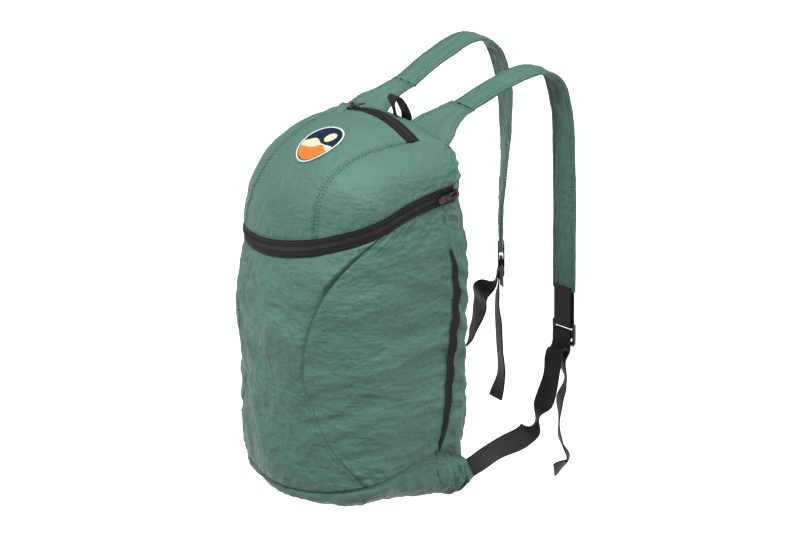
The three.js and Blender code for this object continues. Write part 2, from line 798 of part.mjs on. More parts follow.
function addBadge() {
  const centreY = topZipBack - BADGE_SETBACK;
  const slope = normalOf(lidSurface, 0, lidShareAt(0, centreY));
  const rings = BADGE_RINGS;
  const spokes = BADGE_SPOKES;
  const draft = new Draft();
  const layer = (lift) => {
    const at = (radius, turn) => {
      const x = radius * Math.cos(turn);
      const across = x / LID_SEAM_OFFSET;
      const along = lidShareAt(x, centreY + radius * Math.sin(turn) * Math.abs(slope.z));
      const normal = normalOf(lidSurface, across, along);
      return draft.corner(lidSurface(across, along).addScaledVector(normal, lift));
    };
    const rows = [];
    for (let r = 1; r <= rings; r += 1) {
      const radius = BADGE_RADIUS * r / rings;
      rows.push(Array.from({ length: spokes }, (_, i) => at(radius, 2 * Math.PI * i / spokes)));
    }
    return { rows, centre: at(0, 0) };
  };
  const top = layer(SEAT_GAP + BADGE_HEIGHT);
  const under = layer(SEAT_GAP);
  for (let i = 0; i < spokes; i += 1) {
    const j = (i + 1) % spokes;
    draft.triangle(top.centre, top.rows[0][i], top.rows[0][j]);
    draft.triangle(under.centre, under.rows[0][j], under.rows[0][i]);
    for (let r = 1; r < rings; r += 1) {
      draft.quad(top.rows[r - 1][i], top.rows[r][i], top.rows[r][j], top.rows[r - 1][j]);
      draft.quad(under.rows[r - 1][i], under.rows[r - 1][j], under.rows[r][j], under.rows[r][i]);
    }
    const edge = rings - 1;
    draft.quad(top.rows[edge][i], under.rows[edge][i], under.rows[edge][j], top.rows[edge][j]);
  }
  addMesh('badge', draft.geometry(), 'badge');
}

// Narrow tapes up the sides, over the seam between side panel and gusset.
function addSideTapes() {
  const rows = Math.round(BODY_ROWS * 0.82);
  const half = SIDE_TAPE_WIDTH / 2 / (BACK_DEPTH - CORNER_RADIUS);
  for (const side of sides) {
    const place = (r, c) => {
      const station = side.sign * tapeStation(r / BODY_ROWS) + lerp(-half, half, c);
      return [station, r / BODY_ROWS];
    };
    const lift = LID_GAP + TAPE;
    const tape = clothPanel(rows, 1, bodySurface, place, TAPE, lift);
    addMesh(`side_tape_${side.name}`, tape, 'webbing');
  }
}

// A flat strip along a route. A row gives its centre, and either the direction of its
// width or the turn, in degrees, of that direction from the sideways one.
function ribbon(rows, width, thickness, stepsPerRow) {
  const curve = new THREE.CatmullRomCurve3(rows.map((row) => row.point), false, 'centripetal');
  const last = rows.length - 1;
  const lies = rows.map((row, i) => {
    if (row.lie) return row.lie.clone();
    const tangent = curve.getTangent(i / last);
    const lie = new THREE.Vector3(1, 0, 0);
    lie.addScaledVector(tangent, -lie.dot(tangent)).normalize();
    return lie.applyAxisAngle(tangent, THREE.MathUtils.degToRad(row.turn || 0));
  });
  const steps = last * stepsPerRow;
  const draft = new Draft();
  const rings = [];
  for (let i = 0; i <= steps; i += 1) {
    const t = i / steps;
    const row = Math.min(last - 1, Math.floor(t * last + 1e-9));
    const centre = curve.getPoint(t);
    const tangent = curve.getTangent(t);
    const lie = lies[row].clone().lerp(lies[row + 1], smooth(t * last - row));
    lie.addScaledVector(tangent, -lie.dot(tangent)).normalize();
    const face = tangent.clone().cross(lie);
    const half = (typeof width === 'function' ? width(t) : width) / 2;
    rings.push([[1, 1], [-1, 1], [-1, -1], [1, -1]].map(([a, b]) => (
      draft.corner(centre.clone().addScaledVector(lie, a * half)
        .addScaledVector(face, b * thickness / 2)))));
  }
  for (let i = 0; i < steps; i += 1) {
    for (let k = 0; k < 4; k += 1) {
      const m = (k + 1) % 4;
      draft.quad(rings[i][k], rings[i + 1][k], rings[i + 1][m], rings[i][m]);
    }
  }
  draft.quad(rings[0][0], rings[0][1], rings[0][2], rings[0][3]);
  draft.quad(rings[steps][3], rings[steps][2], rings[steps][1], rings[steps][0]);
  return draft.geometry();
}

function rowAt(x, y, z, turn = 0) {
  return { point: new THREE.Vector3(x, y, z), turn };
}

// The haul loop is sewn to the back below its upper edge. It rises, leans forward and
// comes down again. back is a share of the loop's depth, up a share of its height.
const loopRoute = [
  { back: 0.00, up: -0.15 },
  { back: 0.00, up: 0.06 },
  { back: -0.10, up: 0.38 },
  { back: -0.65, up: 0.76 },
  { back: -0.85, up: 0.97 },
  { back: -0.55, up: 1.00 },
  { back: 0.25, up: 0.73 },
  { back: 0.70, up: 0.38 },
  { back: 0.50, up: 0.08 },
  { back: 0.19, up: -0.14 },
];

function addHaulLoop() {
  const seat = backPoint(MIDDLE, 1).y + SEAT_GAP + WEBBING / 2;
  const route = loopRoute.map((row) => rowAt(
    LOOP_OFFSET,
    seat + LOOP_GAP * row.back,
    backEdgeHeight + LOOP_HEIGHT * row.up,
  ));
  addMesh('haul_loop', ribbon(route, LOOP_WIDTH, WEBBING, 3), 'webbing');
}

// Shoulder wings flare from the back edge and narrow to the width of a strap.
const wingFoot = backEdgeHeight + 1;
const wingEnd = BACK_TOP_DEPTH + WING_LENGTH;

function addWings() {
  const rows = 8;
  const columns = 5;
  for (const side of sides) {
    const surface = (across, along) => {
      const v = (across + 1) / 2;
      const footX = lerp(WING_INNER, BACK_TOP_HALF_WIDTH - 1, v);
      const past = (footX - LID_SEAM_OFFSET) / (BACK_TOP_HALF_WIDTH - LID_SEAM_OFFSET);
      const sag = WING_SAG * Math.max(0, past) ** 2;
      const footY = BACK_TOP_DEPTH + WING_SETBACK + sag * 0.2;
      const foot = new THREE.Vector3(footX, footY, wingFoot - sag);
      const seamX = STRAP_SPREAD + (across * STRAP_WIDTH) / 2;
      const narrow = 1 - (1 - Math.min(1, Math.max(0, along))) ** 2.4;
      return new THREE.Vector3(
        side.sign * lerp(foot.x, seamX, narrow),
        lerp(foot.y, wingEnd, along),
        lerp(foot.z, wingFoot + WING_RISE, along) + WING_CROWN * Math.sin(Math.PI * along),
      );
    };
    const place = (r, c) => [lerp(-1, 1, c / columns), r / rows];
    const wing = clothPanel(rows, columns, surface, place, STRAP_CLOTH, STRAP_CLOTH, side.sign);
    addMesh(`shoulder_wing_${side.name}`, wing, 'cloth');
  }
}

// The strap's path from the wing's seam, over the shoulder and down to the adjuster.
// right and left are each strap's way back as shares of the reach. arch is a share of the
// rise, fall a share of the drop, and the turns of the cloth are in degrees.
const strapPath = [
  { right: 0.000, left: 0.000, arch: 0.00, fall: 0.00, turnRight: 0, turnLeft: 0 },
  { right: 0.340, left: 0.330, arch: 0.64, fall: 0.00, turnRight: 0, turnLeft: 0 },
  { right: 0.660, left: 0.640, arch: 0.96, fall: 0.00, turnRight: 0, turnLeft: 0 },
  { right: 0.850, left: 0.840, arch: 0.70, fall: 0.02, turnRight: 0, turnLeft: 3 },
  { right: 0.955, left: 0.960, arch: 0.25, fall: 0.14, turnRight: -2, turnLeft: 8 },
  { right: 0.985, left: 0.985, arch: 0.05, fall: 0.34, turnRight: -5, turnLeft: 16 },
  { right: 1.000, left: 0.975, arch: 0.00, fall: 0.56, turnRight: -8, turnLeft: 27 },
  { right: 1.005, left: 0.950, arch: 0.00, fall: 0.78, turnRight: -9, turnLeft: 34 },
  { right: 1.010, left: 0.955, arch: 0.00, fall: 1.00, turnRight: -9, turnLeft: 36 },
];

// How each side hangs: the left arch stands higher and its cloth ends higher up.
const hang = {
  right: {
    rise: ARCH_RISE,
    drop: STRAP_DROP,
    turn: 'turnRight',
    tail: TAIL_LENGTH,
    anchor: ANCHOR_LENGTH,
  },
  left: {
    rise: ARCH_RISE + LEFT_ARCH_EXTRA,
    drop: STRAP_DROP - LEFT_STRAP_SHORTER,
    turn: 'turnLeft',
    tail: LEFT_TAIL_LENGTH,
    anchor: LEFT_ANCHOR_LENGTH,
  },
};

function strapRow(side, row) {
  const way = hang[side.name];
  const top = wingFoot + WING_RISE + STRAP_CLOTH / 2;
  return rowAt(
    side.sign * STRAP_SPREAD,
    wingEnd + SEAM_GAP + STRAP_REACH * row[side.name],
    top + way.rise * row.arch - way.drop * row.fall,
    row[way.turn],
  );
}

function strapRoute(side) {
  return strapPath.map((row) => strapRow(side, row));
}

function addStraps() {
  for (const side of sides) {
    const width = (t) => lerp(STRAP_WIDTH, STRAP_END_WIDTH, smooth((t - 0.35) / 0.65));
    const geometry = ribbon(strapRoute(side), width, STRAP_CLOTH, 4);
    addMesh(`shoulder_strap_${side.name}`, geometry, 'cloth');
  }
}

// Each adjuster hangs in a frame of its own: down the webbing, across it and outward.
function adjusterFrame(side) {
  const route = strapRoute(side);
  const end = route[route.length - 1];
  const before = route[route.length - 2];
  const down = end.point.clone().sub(before.point).normalize();
  const lie = new THREE.Vector3(1, 0, 0);
  lie.addScaledVector(down, -lie.dot(down)).normalize();
  lie.applyAxisAngle(down, THREE.MathUtils.degToRad(end.turn));
  const outward = lie.clone().cross(down).normalize();
  const anchor = SEAM_GAP + hang[side.name].anchor;
  const at = (along, out) => end.point.clone()
    .addScaledVector(down, anchor + along)
    .addScaledVector(outward, out);
  return { anchor, down, lie, at };
}

// Distances down from the buckle's upper edge.
const topBar = BUCKLE_BAR / 2;
const firstSlot = BUCKLE_BAR + BUCKLE_SLOT / 2;
const middleBar = firstSlot + (BUCKLE_SLOT + BUCKLE_BAR) / 2;
const secondSlot = middleBar + (BUCKLE_SLOT + BUCKLE_BAR) / 2;
const lowBar = secondSlot + (BUCKLE_SLOT + BUCKLE_BAR) / 2;
const buckleLength = 3 * BUCKLE_BAR + 2 * BUCKLE_SLOT;
const overBar = BUCKLE_THICKNESS / 2 + SEAT_GAP + WEBBING / 2;
const barSide = BUCKLE_BAR / 2 + SEAT_GAP + WEBBING / 2;

// The anchor webbing is sewn under the strap's end and loops round the top bar.
function addAnchors() {
  for (const side of sides) {
    const frame = adjusterFrame(side);
    const sewn = SEAM_GAP - frame.anchor;
    const route = [
      [sewn, overBar], [topBar - 6, overBar], [topBar, overBar + 0.15],
      [topBar + barSide - 0.3, overBar * 0.88], [topBar + barSide + 0.2, 0],
      [topBar + barSide - 0.3, -overBar * 0.88], [topBar, -overBar - 0.15],
      [topBar - 6, -overBar], [sewn, -overBar],
    ].map(([along, out]) => ({ point: frame.at(along, out), lie: frame.lie }));
    addMesh(`strap_anchor_${side.name}`, ribbon(route, WEBBING_WIDTH, WEBBING, 3), 'webbing');
  }
}

// The adjuster: a plastic frame with three bars and two slots.
function buckleGeometry() {
  const half = BUCKLE_WIDTH / 2;
  const corner = 2.5;
  const end = buckleLength;
  const shape = new THREE.Shape();
  shape.moveTo(-half + corner, 0);
  shape.lineTo(half - corner, 0);
  shape.absarc(half - corner, corner, corner, -Math.PI / 2, 0, false);
  shape.lineTo(half, end - corner);
  shape.absarc(half - corner, end - corner, corner, 0, Math.PI / 2, false);
  shape.lineTo(-half + corner, end);
  shape.absarc(-half + corner, end - corner, corner, Math.PI / 2, Math.PI, false);
  shape.lineTo(-half, corner);
  shape.absarc(-half + corner, corner, corner, Math.PI, Math.PI * 1.5, false);
  const slotHalf = WEBBING_WIDTH / 2 + 1;
  for (const low of [BUCKLE_BAR, 2 * BUCKLE_BAR + BUCKLE_SLOT]) {
    shape.holes.push(new THREE.Path([
      new THREE.Vector2(-slotHalf, low),
      new THREE.Vector2(-slotHalf, low + BUCKLE_SLOT),
      new THREE.Vector2(slotHalf, low + BUCKLE_SLOT),
      new THREE.Vector2(slotHalf, low),
    ]));
  }
  const settings = { depth: BUCKLE_THICKNESS, bevelEnabled: false, curveSegments: 3 };
  const buckle = new THREE.ExtrudeGeometry(shape, settings);
  buckle.translate(0, 0, -BUCKLE_THICKNESS / 2);
  return buckle;
}

function addBuckles() {
  for (const side of sides) {
    const frame = adjusterFrame(side);
    const buckle = addMesh(`ladder_lock_${side.name}`, buckleGeometry(), 'plastic');
    const axes = new THREE.Matrix4().makeBasis(frame.lie, frame.down, frame.lie.clone().cross(frame.down));
    buckle.setRotationFromMatrix(axes);
    buckle.position.copy(frame.at(0, 0));
  }
}

// The corner tab is a folded triangle at the foot of the back corner.
// Its root follows the corner, and the webbing is sewn between its upper and outer corners.
const tabRoots = [0.34, 0.48, 0.62, 0.75, 0.86];

function tabCorners(side) {
  const seam = bodyPlain(EDGE_STATION, 0);
  seam.z -= SEAM_GAP;
  const heart = new THREE.Vector3(seam.x * 0.5, seam.y * 0.5, seam.z * 0.8);
  const roots = tabRoots.map((depth) => {
    const turn = Math.asin(depth ** (bottomRound(seam) / 2));
    const point = bottomPoint(seam, turn / (Math.PI / 2), 0);
    const away = point.clone().sub(heart).normalize();
    return point.addScaledVector(away, SEAM_GAP + SEAT_GAP);
  });
  const top = roots[0];
  const foot = roots[roots.length - 1];
  const reach = (from, x, y, z) => (
    new THREE.Vector3(from.x + TAB_REACH * x, from.y + TAB_REACH * y, from.z + TAB_REACH * z));
  const corners = {
    roots,
    upper: reach(top, 0.25, 0.20, -0.10),
    outer: reach(top, 0.30, 0.95, -1.75),
    low: reach(foot, 0.60, -0.10, -0.40),
  };
  for (const corner of [...roots, corners.upper, corners.outer, corners.low]) corner.x *= side.sign;
  return corners;
}

function addCornerTabs() {
  for (const side of sides) {
    const { roots, upper, outer, low } = tabCorners(side);
    const rim = [outer, low, ...roots.slice().reverse(), upper];
    const across = upper.clone().sub(roots[0]).cross(low.clone().sub(roots[0]));
    across.normalize().multiplyScalar(TAB_THICKNESS / 2);
    const draft = new Draft();
    const one = rim.map((corner) => draft.corner(corner.clone().add(across)));
    const two = rim.map((corner) => draft.corner(corner.clone().sub(across)));
    const last = rim.length - 1;
    for (let i = 1; i < last; i += 1) {
      draft.triangle(one[0], one[i], one[i + 1]);
      draft.triangle(two[0], two[i + 1], two[i]);
    }
    for (let i = 0; i <= last; i += 1) {
      const j = (i + 1) % (last + 1);
      draft.quad(one[i], two[i], two[j], one[j]);
    }
    addMesh(`corner_tab_${side.name}`, draft.geometry(), 'cloth');
  }
}

// The webbing from each corner tab: x, y and z are shares of the way from tab to buckle.
const lowerPath = {
  right: [
    { out: 0.22, back: 0.30, up: 0.08, turn: 84 },
    { out: 0.42, back: 0.58, up: 0.10, turn: 62 },
    { out: 0.58, back: 0.76, up: 0.41, turn: 22 },
    { out: 0.72, back: 0.86, up: 0.76, turn: 2 },
    { out: 0.86, back: 0.92, up: 1.00, turn: -7 },
  ],
  left: [
    { out: 0.23, back: 0.55, up: 0.08, turn: -60 },
    { out: 0.44, back: 0.88, up: 0.33, turn: -20 },
    { out: 0.56, back: 0.93, up: 0.52, turn: 10 },
    { out: 0.72, back: 0.95, up: 0.78, turn: 30 },
    { out: 0.86, back: 0.92, up: 0.94, turn: 35 },
  ],
};

// The loose tail below the buckle: away from it and outward, as shares of its length.
const tailPath = {
  right: [
    { down: 0.10, back: -0.020, turn: 5 },
    { down: 0.28, back: 0.035, turn: 40 },
    { down: 0.42, back: -0.015, turn: 60 },
    { down: 0.60, back: -0.020, turn: 66 },
    { down: 0.78, back: 0.005, turn: 60 },
    { down: 0.94, back: 0.065, turn: 45 },
    { down: 1.00, back: -0.060, turn: 35 },
  ],
  left: [
    { down: 0.12, back: -0.015, turn: 36 },
    { down: 0.32, back: 0.000, turn: 42 },
    { down: 0.55, back: 0.015, turn: 48 },
    { down: 0.80, back: 0.035, turn: 42 },
    { down: 1.00, back: -0.025, turn: 36 },
  ],
};

// The bag-side webbing rises behind the adjuster, passes over its middle bar
// and comes out behind the lowest bar as the tail.
function barRows(frame) {
  const loadOut = overBar + WEBBING + 2 * SEAT_GAP;
  const rows = [
    [lowBar + 6, -loadOut - 2.2], [lowBar, -loadOut], [secondSlot, -loadOut + 0.5],
    [middleBar, -overBar - 0.35], [middleBar - barSide * 0.9, -overBar * 0.92],
    [middleBar - barSide - 0.2, 0], [middleBar - barSide * 0.9, overBar * 0.9],
    [middleBar, overBar + 0.2], [middleBar + barSide * 0.9, overBar * 0.9],
    [middleBar + barSide + 0.3, 0], [secondSlot + 1.5, -overBar * 0.95],
    [lowBar, -overBar - 0.1], [lowBar + 7, -overBar + 0.2],
  ];
  return rows.map(([along, out]) => ({ point: frame.at(along, out), lie: frame.lie }));
}

function lowerRows(side) {
  const frame = adjusterFrame(side);
  const corners = tabCorners(side);
  const edge = corners.outer.clone().sub(corners.upper).normalize();
  const sewn = corners.upper.clone().lerp(corners.outer, 0.5);
  const inward = corners.low.clone().sub(sewn);
  inward.addScaledVector(edge, -inward.dot(edge)).normalize();
  const start = sewn.clone().addScaledVector(inward, -SEAM_GAP - 0.1);
  const bars = barRows(frame);
  const tabLie = edge.clone().multiplyScalar(side.sign);
  const rows = [
    { point: start, lie: tabLie },
    { point: start.clone().addScaledVector(inward, -10), lie: tabLie },
  ];
  for (const row of lowerPath[side.name]) {
    rows.push(rowAt(
      lerp(start.x, bars[0].point.x, row.out),
      lerp(start.y, bars[0].point.y, row.back),
      lerp(start.z, bars[0].point.z, row.up),
      row.turn,
    ));
  }
  rows.push(...bars);
  const last = bars[bars.length - 1].point;
  const length = hang[side.name].tail;
  for (const row of tailPath[side.name]) {
    rows.push(rowAt(last.x, last.y + length * row.back, last.z - length * row.down, row.turn));
  }
  return rows;
}

function addLowerStraps() {
  for (const side of sides) {
    const rows = lowerRows(side);
    addMesh(`lower_strap_${side.name}`, ribbon(rows, WEBBING_WIDTH, WEBBING, 3), 'webbing');
  }
}

addBody();
addBack();
addBottom();
addLid();
addYoke();
addMainZip();
addTopZip();
addSliders();
addBadge();
addSideTapes();
addHaulLoop();
addWings();
addStraps();
addAnchors();
addBuckles();
addCornerTabs();
addLowerStraps();

// The origin is midway between the undersides of the two strap arches.
const archRoute = strapRoute(sides[0])[2].point;
const archMiddle = archRoute.z + LEFT_ARCH_EXTRA / 2 - STRAP_CLOTH / 2;
bag.position.set(0, -archRoute.y, -archMiddle);

const model = new THREE.Group();
model.add(bag);

export default model;
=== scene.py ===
"""The looks of a light packable daypack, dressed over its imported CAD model.

Lengths in the formulas are millimetres in the bag's own frame, whose zero is the lowest
point of the body. A mesh goes to metres and to the row's frame when it is made.
Directions: +Z up, -Y the curved front, +Y the wearer, +X the side of the zip's slider.
"""

import itertools
import logging
import math
from dataclasses import dataclass, field
from enum import Enum
from typing import Callable, Optional, Sequence

import bpy
import numpy as np
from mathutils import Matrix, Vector

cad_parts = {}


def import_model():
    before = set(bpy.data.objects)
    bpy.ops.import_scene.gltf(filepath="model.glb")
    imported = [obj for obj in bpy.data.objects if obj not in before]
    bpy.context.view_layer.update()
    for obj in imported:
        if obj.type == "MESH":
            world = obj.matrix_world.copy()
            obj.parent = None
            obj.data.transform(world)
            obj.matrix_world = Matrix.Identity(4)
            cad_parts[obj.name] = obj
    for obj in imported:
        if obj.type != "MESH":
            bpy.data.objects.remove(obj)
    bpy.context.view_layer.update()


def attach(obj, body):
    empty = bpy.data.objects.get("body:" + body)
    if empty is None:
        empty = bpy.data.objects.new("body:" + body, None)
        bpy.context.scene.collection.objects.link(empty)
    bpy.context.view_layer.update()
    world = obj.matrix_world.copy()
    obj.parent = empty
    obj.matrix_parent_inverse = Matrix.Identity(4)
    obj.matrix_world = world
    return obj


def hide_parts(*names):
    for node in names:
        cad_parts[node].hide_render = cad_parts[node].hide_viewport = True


Array = np.ndarray
LOG = logging.getLogger("daypack")

MM = 0.001
BAG_SHIFT = np.array([0.0, -224.94, -433.0])
SEED = 20


class Side(Enum):
    """The two sides of the bag, with the sign of X there."""

    RIGHT = 1
    LEFT = -1

    @property
    def label(self) -> str:
        """The side's word in the names of pieces."""
        return self.name.lower()


def smooth(share: Array) -> Array:
    """Eases a share: three times its square less twice its cube, held from 0 to 1."""
    s = np.clip(share, 0.0, 1.0)
    return s * s * (3 - 2 * s)


def unit(vectors: Array) -> Array:
    """Scales vectors, given along the last axis, to a length of one."""
    return vectors / np.maximum(np.linalg.norm(vectors, axis=-1, keepdims=True), 1e-12)


def mix(a: Array, b: Array, share: Array) -> Array:
    """A straight mix of a and b, share of b."""
    return a + (b - a) * share


def points_of(x: Array, y: Array, z: Array) -> Array:
    """Stacks three coordinates, spread to one shape, along a last axis."""
    return np.stack(np.broadcast_arrays(x, y, z), -1).astype(float)


@dataclass(frozen=True)
class Curve:
    """A smooth curve through a short table.

    Between two rows it is the cubic that has their values and, at each, the slope from
    the row before to the row after.
    """

    at: tuple[float, ...]
    value: tuple[float, ...]

    def read(self, share: Array) -> Array:
        """Reads the curve.

        Args:
            share: where to read, held inside the table's ends.
        Returns:
            The values there, in the shape of share.
        """
        x, y = np.array(self.at), np.array(self.value)
        low = np.maximum(np.arange(len(x)) - 1, 0)
        high = np.minimum(np.arange(len(x)) + 1, len(x) - 1)
        slope = (y[high] - y[low]) / (x[high] - x[low])
        s = np.clip(share, x[0], x[-1])
        i = np.clip(np.searchsorted(x, s, side="left") - 1, 0, len(x) - 2)
        width = x[i + 1] - x[i]
        t = (s - x[i]) / width
        rise = 3 * t**2 - 2 * t**3
        return (
            y[i] * (1 - rise)
            + y[i + 1] * rise
            + slope[i] * width * (t**3 - 2 * t**2 + t)
            + slope[i + 1] * width * (t**3 - t**2)
        )


class Crumple:
    """Seeded gradient noise, and the creases that cloth gets from it."""

    def __init__(self, seed: int) -> None:
        """Draws the lattice of directions from the seed."""
        random = np.random.default_rng(seed)
        self.order = random.permutation(256)
        self.slopes = unit(random.normal(size=(256, 3)))

    def noise(self, places: Array) -> Array:
        """Smooth noise of about -0.7 to 0.7.

        Each corner of the unit cell round a place has a random slope. The result is the
        mix of the eight slopes' heights there, with the ease 6t^5 - 15t^4 + 10t^3.

        Args:
            places: points, the last axis x, y and z, in units of the noise's size.
        Returns:
            One value for each place.
        """
        cell = np.floor(places).astype(int)
        inside = places - cell
        ease = inside**3 * (inside * (inside * 6 - 15) + 10)
        total = np.zeros(places.shape[:-1])
        for corner in itertools.product((0, 1), repeat=3):
            x, y, z = ((cell[..., k] + corner[k]) & 255 for k in range(3))
            slope = self.slopes[self.order[(self.order[(self.order[x] + y) & 255] + z) & 255]]
            weight = np.prod(np.where(np.array(corner), ease, 1 - ease), axis=-1)
            total += weight * np.sum(slope * (inside - np.array(corner)), axis=-1)
        return total

    def layers(self, places: Array, count: int = 3) -> Array:
        """Noise with finer layers, each half as high and twice as fine as the last."""
        return sum(self.noise(places * 2.0**k + 17.3 * k) / 2.0**k for k in range(count))

    def creases(self, places: Array, count: int = 2) -> Array:
        """Sharp ridges: one less the noise's size, after a bend by a coarser noise."""
        bend = points_of(
            self.noise(places * 0.45 + 5.1),
            self.noise(places * 0.45 + 9.7),
            self.noise(places * 0.45 + 13.9),
        )
        bent = places + 0.9 * bend
        ridges = [
            (1 - np.minimum(1, 3.2 * np.abs(self.noise(bent * 2.0**k + 31.0 * k)))) / 1.8**k
            for k in range(count)
        ]
        return sum(ridges)


CRUMPLE = Crumple(SEED)


def link(name: str, data: bpy.types.ID) -> bpy.types.Object:
    """Makes an object of some data and links it to the scene."""
    made = bpy.data.objects.new(name, data)
    bpy.context.scene.collection.objects.link(made)
    return made


def spread(at: Array, runs: Array, values: Array) -> Array:
    """Reads three columns of values, given by distance, at other distances."""
    return np.stack([np.interp(at, runs, values[:, k]) for k in range(3)], -1)


def grid_normals(grid: Array) -> Array:
    """Normals of a grid of points: the cross of its two central differences."""
    return unit(np.cross(np.gradient(grid, axis=1), np.gradient(grid, axis=0)))


def run_lengths(grid: Array, axis: int) -> Array:
    """Distance along a grid's lines from their start, in the grid's shape less its last axis."""
    steps = np.linalg.norm(np.diff(grid, axis=axis), axis=-1)
    start = np.zeros_like(np.take(steps, [0], axis=axis))
    return np.concatenate([start, np.cumsum(steps, axis=axis)], axis=axis)


def grid_faces(rows: int, columns: int, wrap: bool = False) -> Array:
    """Four-cornered faces of a grid of rows by columns points, joined round if wrap."""
    index = np.arange(rows * columns).reshape(rows, columns)
    if wrap:
        index = np.concatenate([index, index[:, :1]], axis=1)
    corners = [index[:-1, :-1], index[:-1, 1:], index[1:, 1:], index[1:, :-1]]
    return np.stack(corners, -1).reshape(-1, 4)


def round_line(count: int) -> Array:
    """A closed circle of radius one, in the plane."""
    turn = np.linspace(0, 2 * np.pi, count + 1)[:-1]
    return np.stack([np.cos(turn), np.sin(turn)], -1)


@dataclass
class MeshParts:
    """Points, faces and flat coordinates that become one mesh."""

    points: list[Array] = field(default_factory=list)
    faces: list[Array] = field(default_factory=list)
    flat: list[Array] = field(default_factory=list)
    count: int = 0

    def add(self, points: Array, faces: Sequence[Array], flat: Optional[Array] = None) -> None:
        """Adds a body.

        Args:
            points: its points, millimetres in the bag's frame.
            faces: arrays of faces, each with one number of corners, counted from 0.
            flat: two flat coordinates a point, in millimetres, or nothing for zeros.
        """
        points = points.reshape(-1, 3)
        self.points.append(points)
        self.faces.extend(f + self.count for f in faces if len(f))
        self.flat.append(np.zeros((len(points), 2)) if flat is None else flat.reshape(-1, 2))
        self.count += len(points)

    def build(self, name: str, shade_smooth: bool = True) -> bpy.types.Object:
        """Makes the object, at the origin, with its place in its mesh and metres.

        Args:
            name: the piece's name.
            shade_smooth: whether faces are shaded as one surface.
        Returns:
            The new object, linked to the scene.
        """
        points = (np.concatenate(self.points) + BAG_SHIFT) * MM
        loops = np.concatenate([f.ravel() for f in self.faces])
        sizes = np.concatenate([np.full(len(f), f.shape[1]) for f in self.faces])
        mesh = bpy.data.meshes.new(name)
        mesh.vertices.add(len(points))
        mesh.vertices.foreach_set("co", points.astype(np.float32).ravel())
        mesh.loops.add(len(loops))
        mesh.loops.foreach_set("vertex_index", loops.astype(np.int32))
        mesh.polygons.add(len(sizes))
        starts = np.concatenate([[0], np.cumsum(sizes)[:-1]])
        mesh.polygons.foreach_set("loop_start", starts.astype(np.int32))
        mesh.polygons.foreach_set("use_smooth", np.full(len(sizes), shade_smooth))
        layer = mesh.uv_layers.new(name="cloth")
        flat = np.concatenate(self.flat)[loops] * MM
        layer.data.foreach_set("uv", flat.astype(np.float32).ravel())
        mesh.update(calc_edges=True)
        mesh.validate()
        return link(name, mesh)


def add_sheet(parts: MeshParts, outer: Array, inner: Array, lay: Array) -> None:
    """Adds a closed sheet: its two faces and the rim that joins them.

    Args:
        parts: what it is added to.
        outer: rows by columns of points on the outer face, as seen from outside.
        inner: the points behind them.
        lay: the grid whose distances along rows and columns are the flat coordinates.
    """
    rows, columns = outer.shape[:2]
    total = rows * columns
    faces = grid_faces(rows, columns)
    index = np.arange(total).reshape(rows, columns)
    border = np.concatenate([index[0], index[1:, -1], index[-1, -2::-1], index[-2:0:-1, 0]])
    ahead = np.roll(border, -1)
    rim = np.stack([border, border + total, ahead + total, ahead], -1)
    flat = np.stack([run_lengths(lay, 1), run_lengths(lay, 0)], -1).reshape(-1, 2)
    points = np.concatenate([outer.reshape(-1, 3), inner.reshape(-1, 3)])
    parts.add(points, [faces[:, ::-1], faces + total, rim], np.tile(flat, (2, 1)))


def add_shell(parts: MeshParts, grid: Array, wall: float) -> None:
    """Adds a closed sheet of one thickness under a grid whose normals point outwards."""
    add_sheet(parts, grid, grid - wall * grid_normals(grid), grid)


def line_beside(grid: Array, axis: int, distance: float, from_end: bool = False) -> Array:
    """A line that runs beside one border of a grid, at a distance on the cloth.

    Args:
        grid: rows by columns of points.
        axis: 1 for a line beside the first column, 0 beside the first row.
        distance: how far in from the border, in millimetres.
        from_end: measure from the last column or row instead.
    Returns:
        Its points, one for each row, or for each column where axis is 0.
    """
    turned = np.flip(grid, axis) if from_end else grid
    if axis == 0:
        turned = np.swapaxes(turned, 0, 1)
    runs = run_lengths(turned, 1)
    i = np.clip(np.sum(runs < distance, axis=1) - 1, 0, runs.shape[1] - 2)
    rows = np.arange(len(runs))
    share = (distance - runs[rows, i]) / (runs[rows, i + 1] - runs[rows, i])
    return mix(turned[rows, i], turned[rows, i + 1], share[:, None])


def even_steps(line: Array, step: float) -> tuple[Array, Array]:
    """Points at even steps along a line, and the directions there."""
    runs = run_lengths(line, 0)
    count = max(2, int(runs[-1] / step) + 1)
    at = np.linspace(0, runs[-1], count)
    points = spread(at, runs, line)
    return points, unit(np.gradient(points, axis=0))


def repeated(faces: Array, copies: int, corners: int) -> Array:
    """One body's faces for each copy, where the copies' points follow each other."""
    starts = np.arange(copies) * corners
    return (faces[None] + starts[:, None, None]).reshape(-1, faces.shape[1])


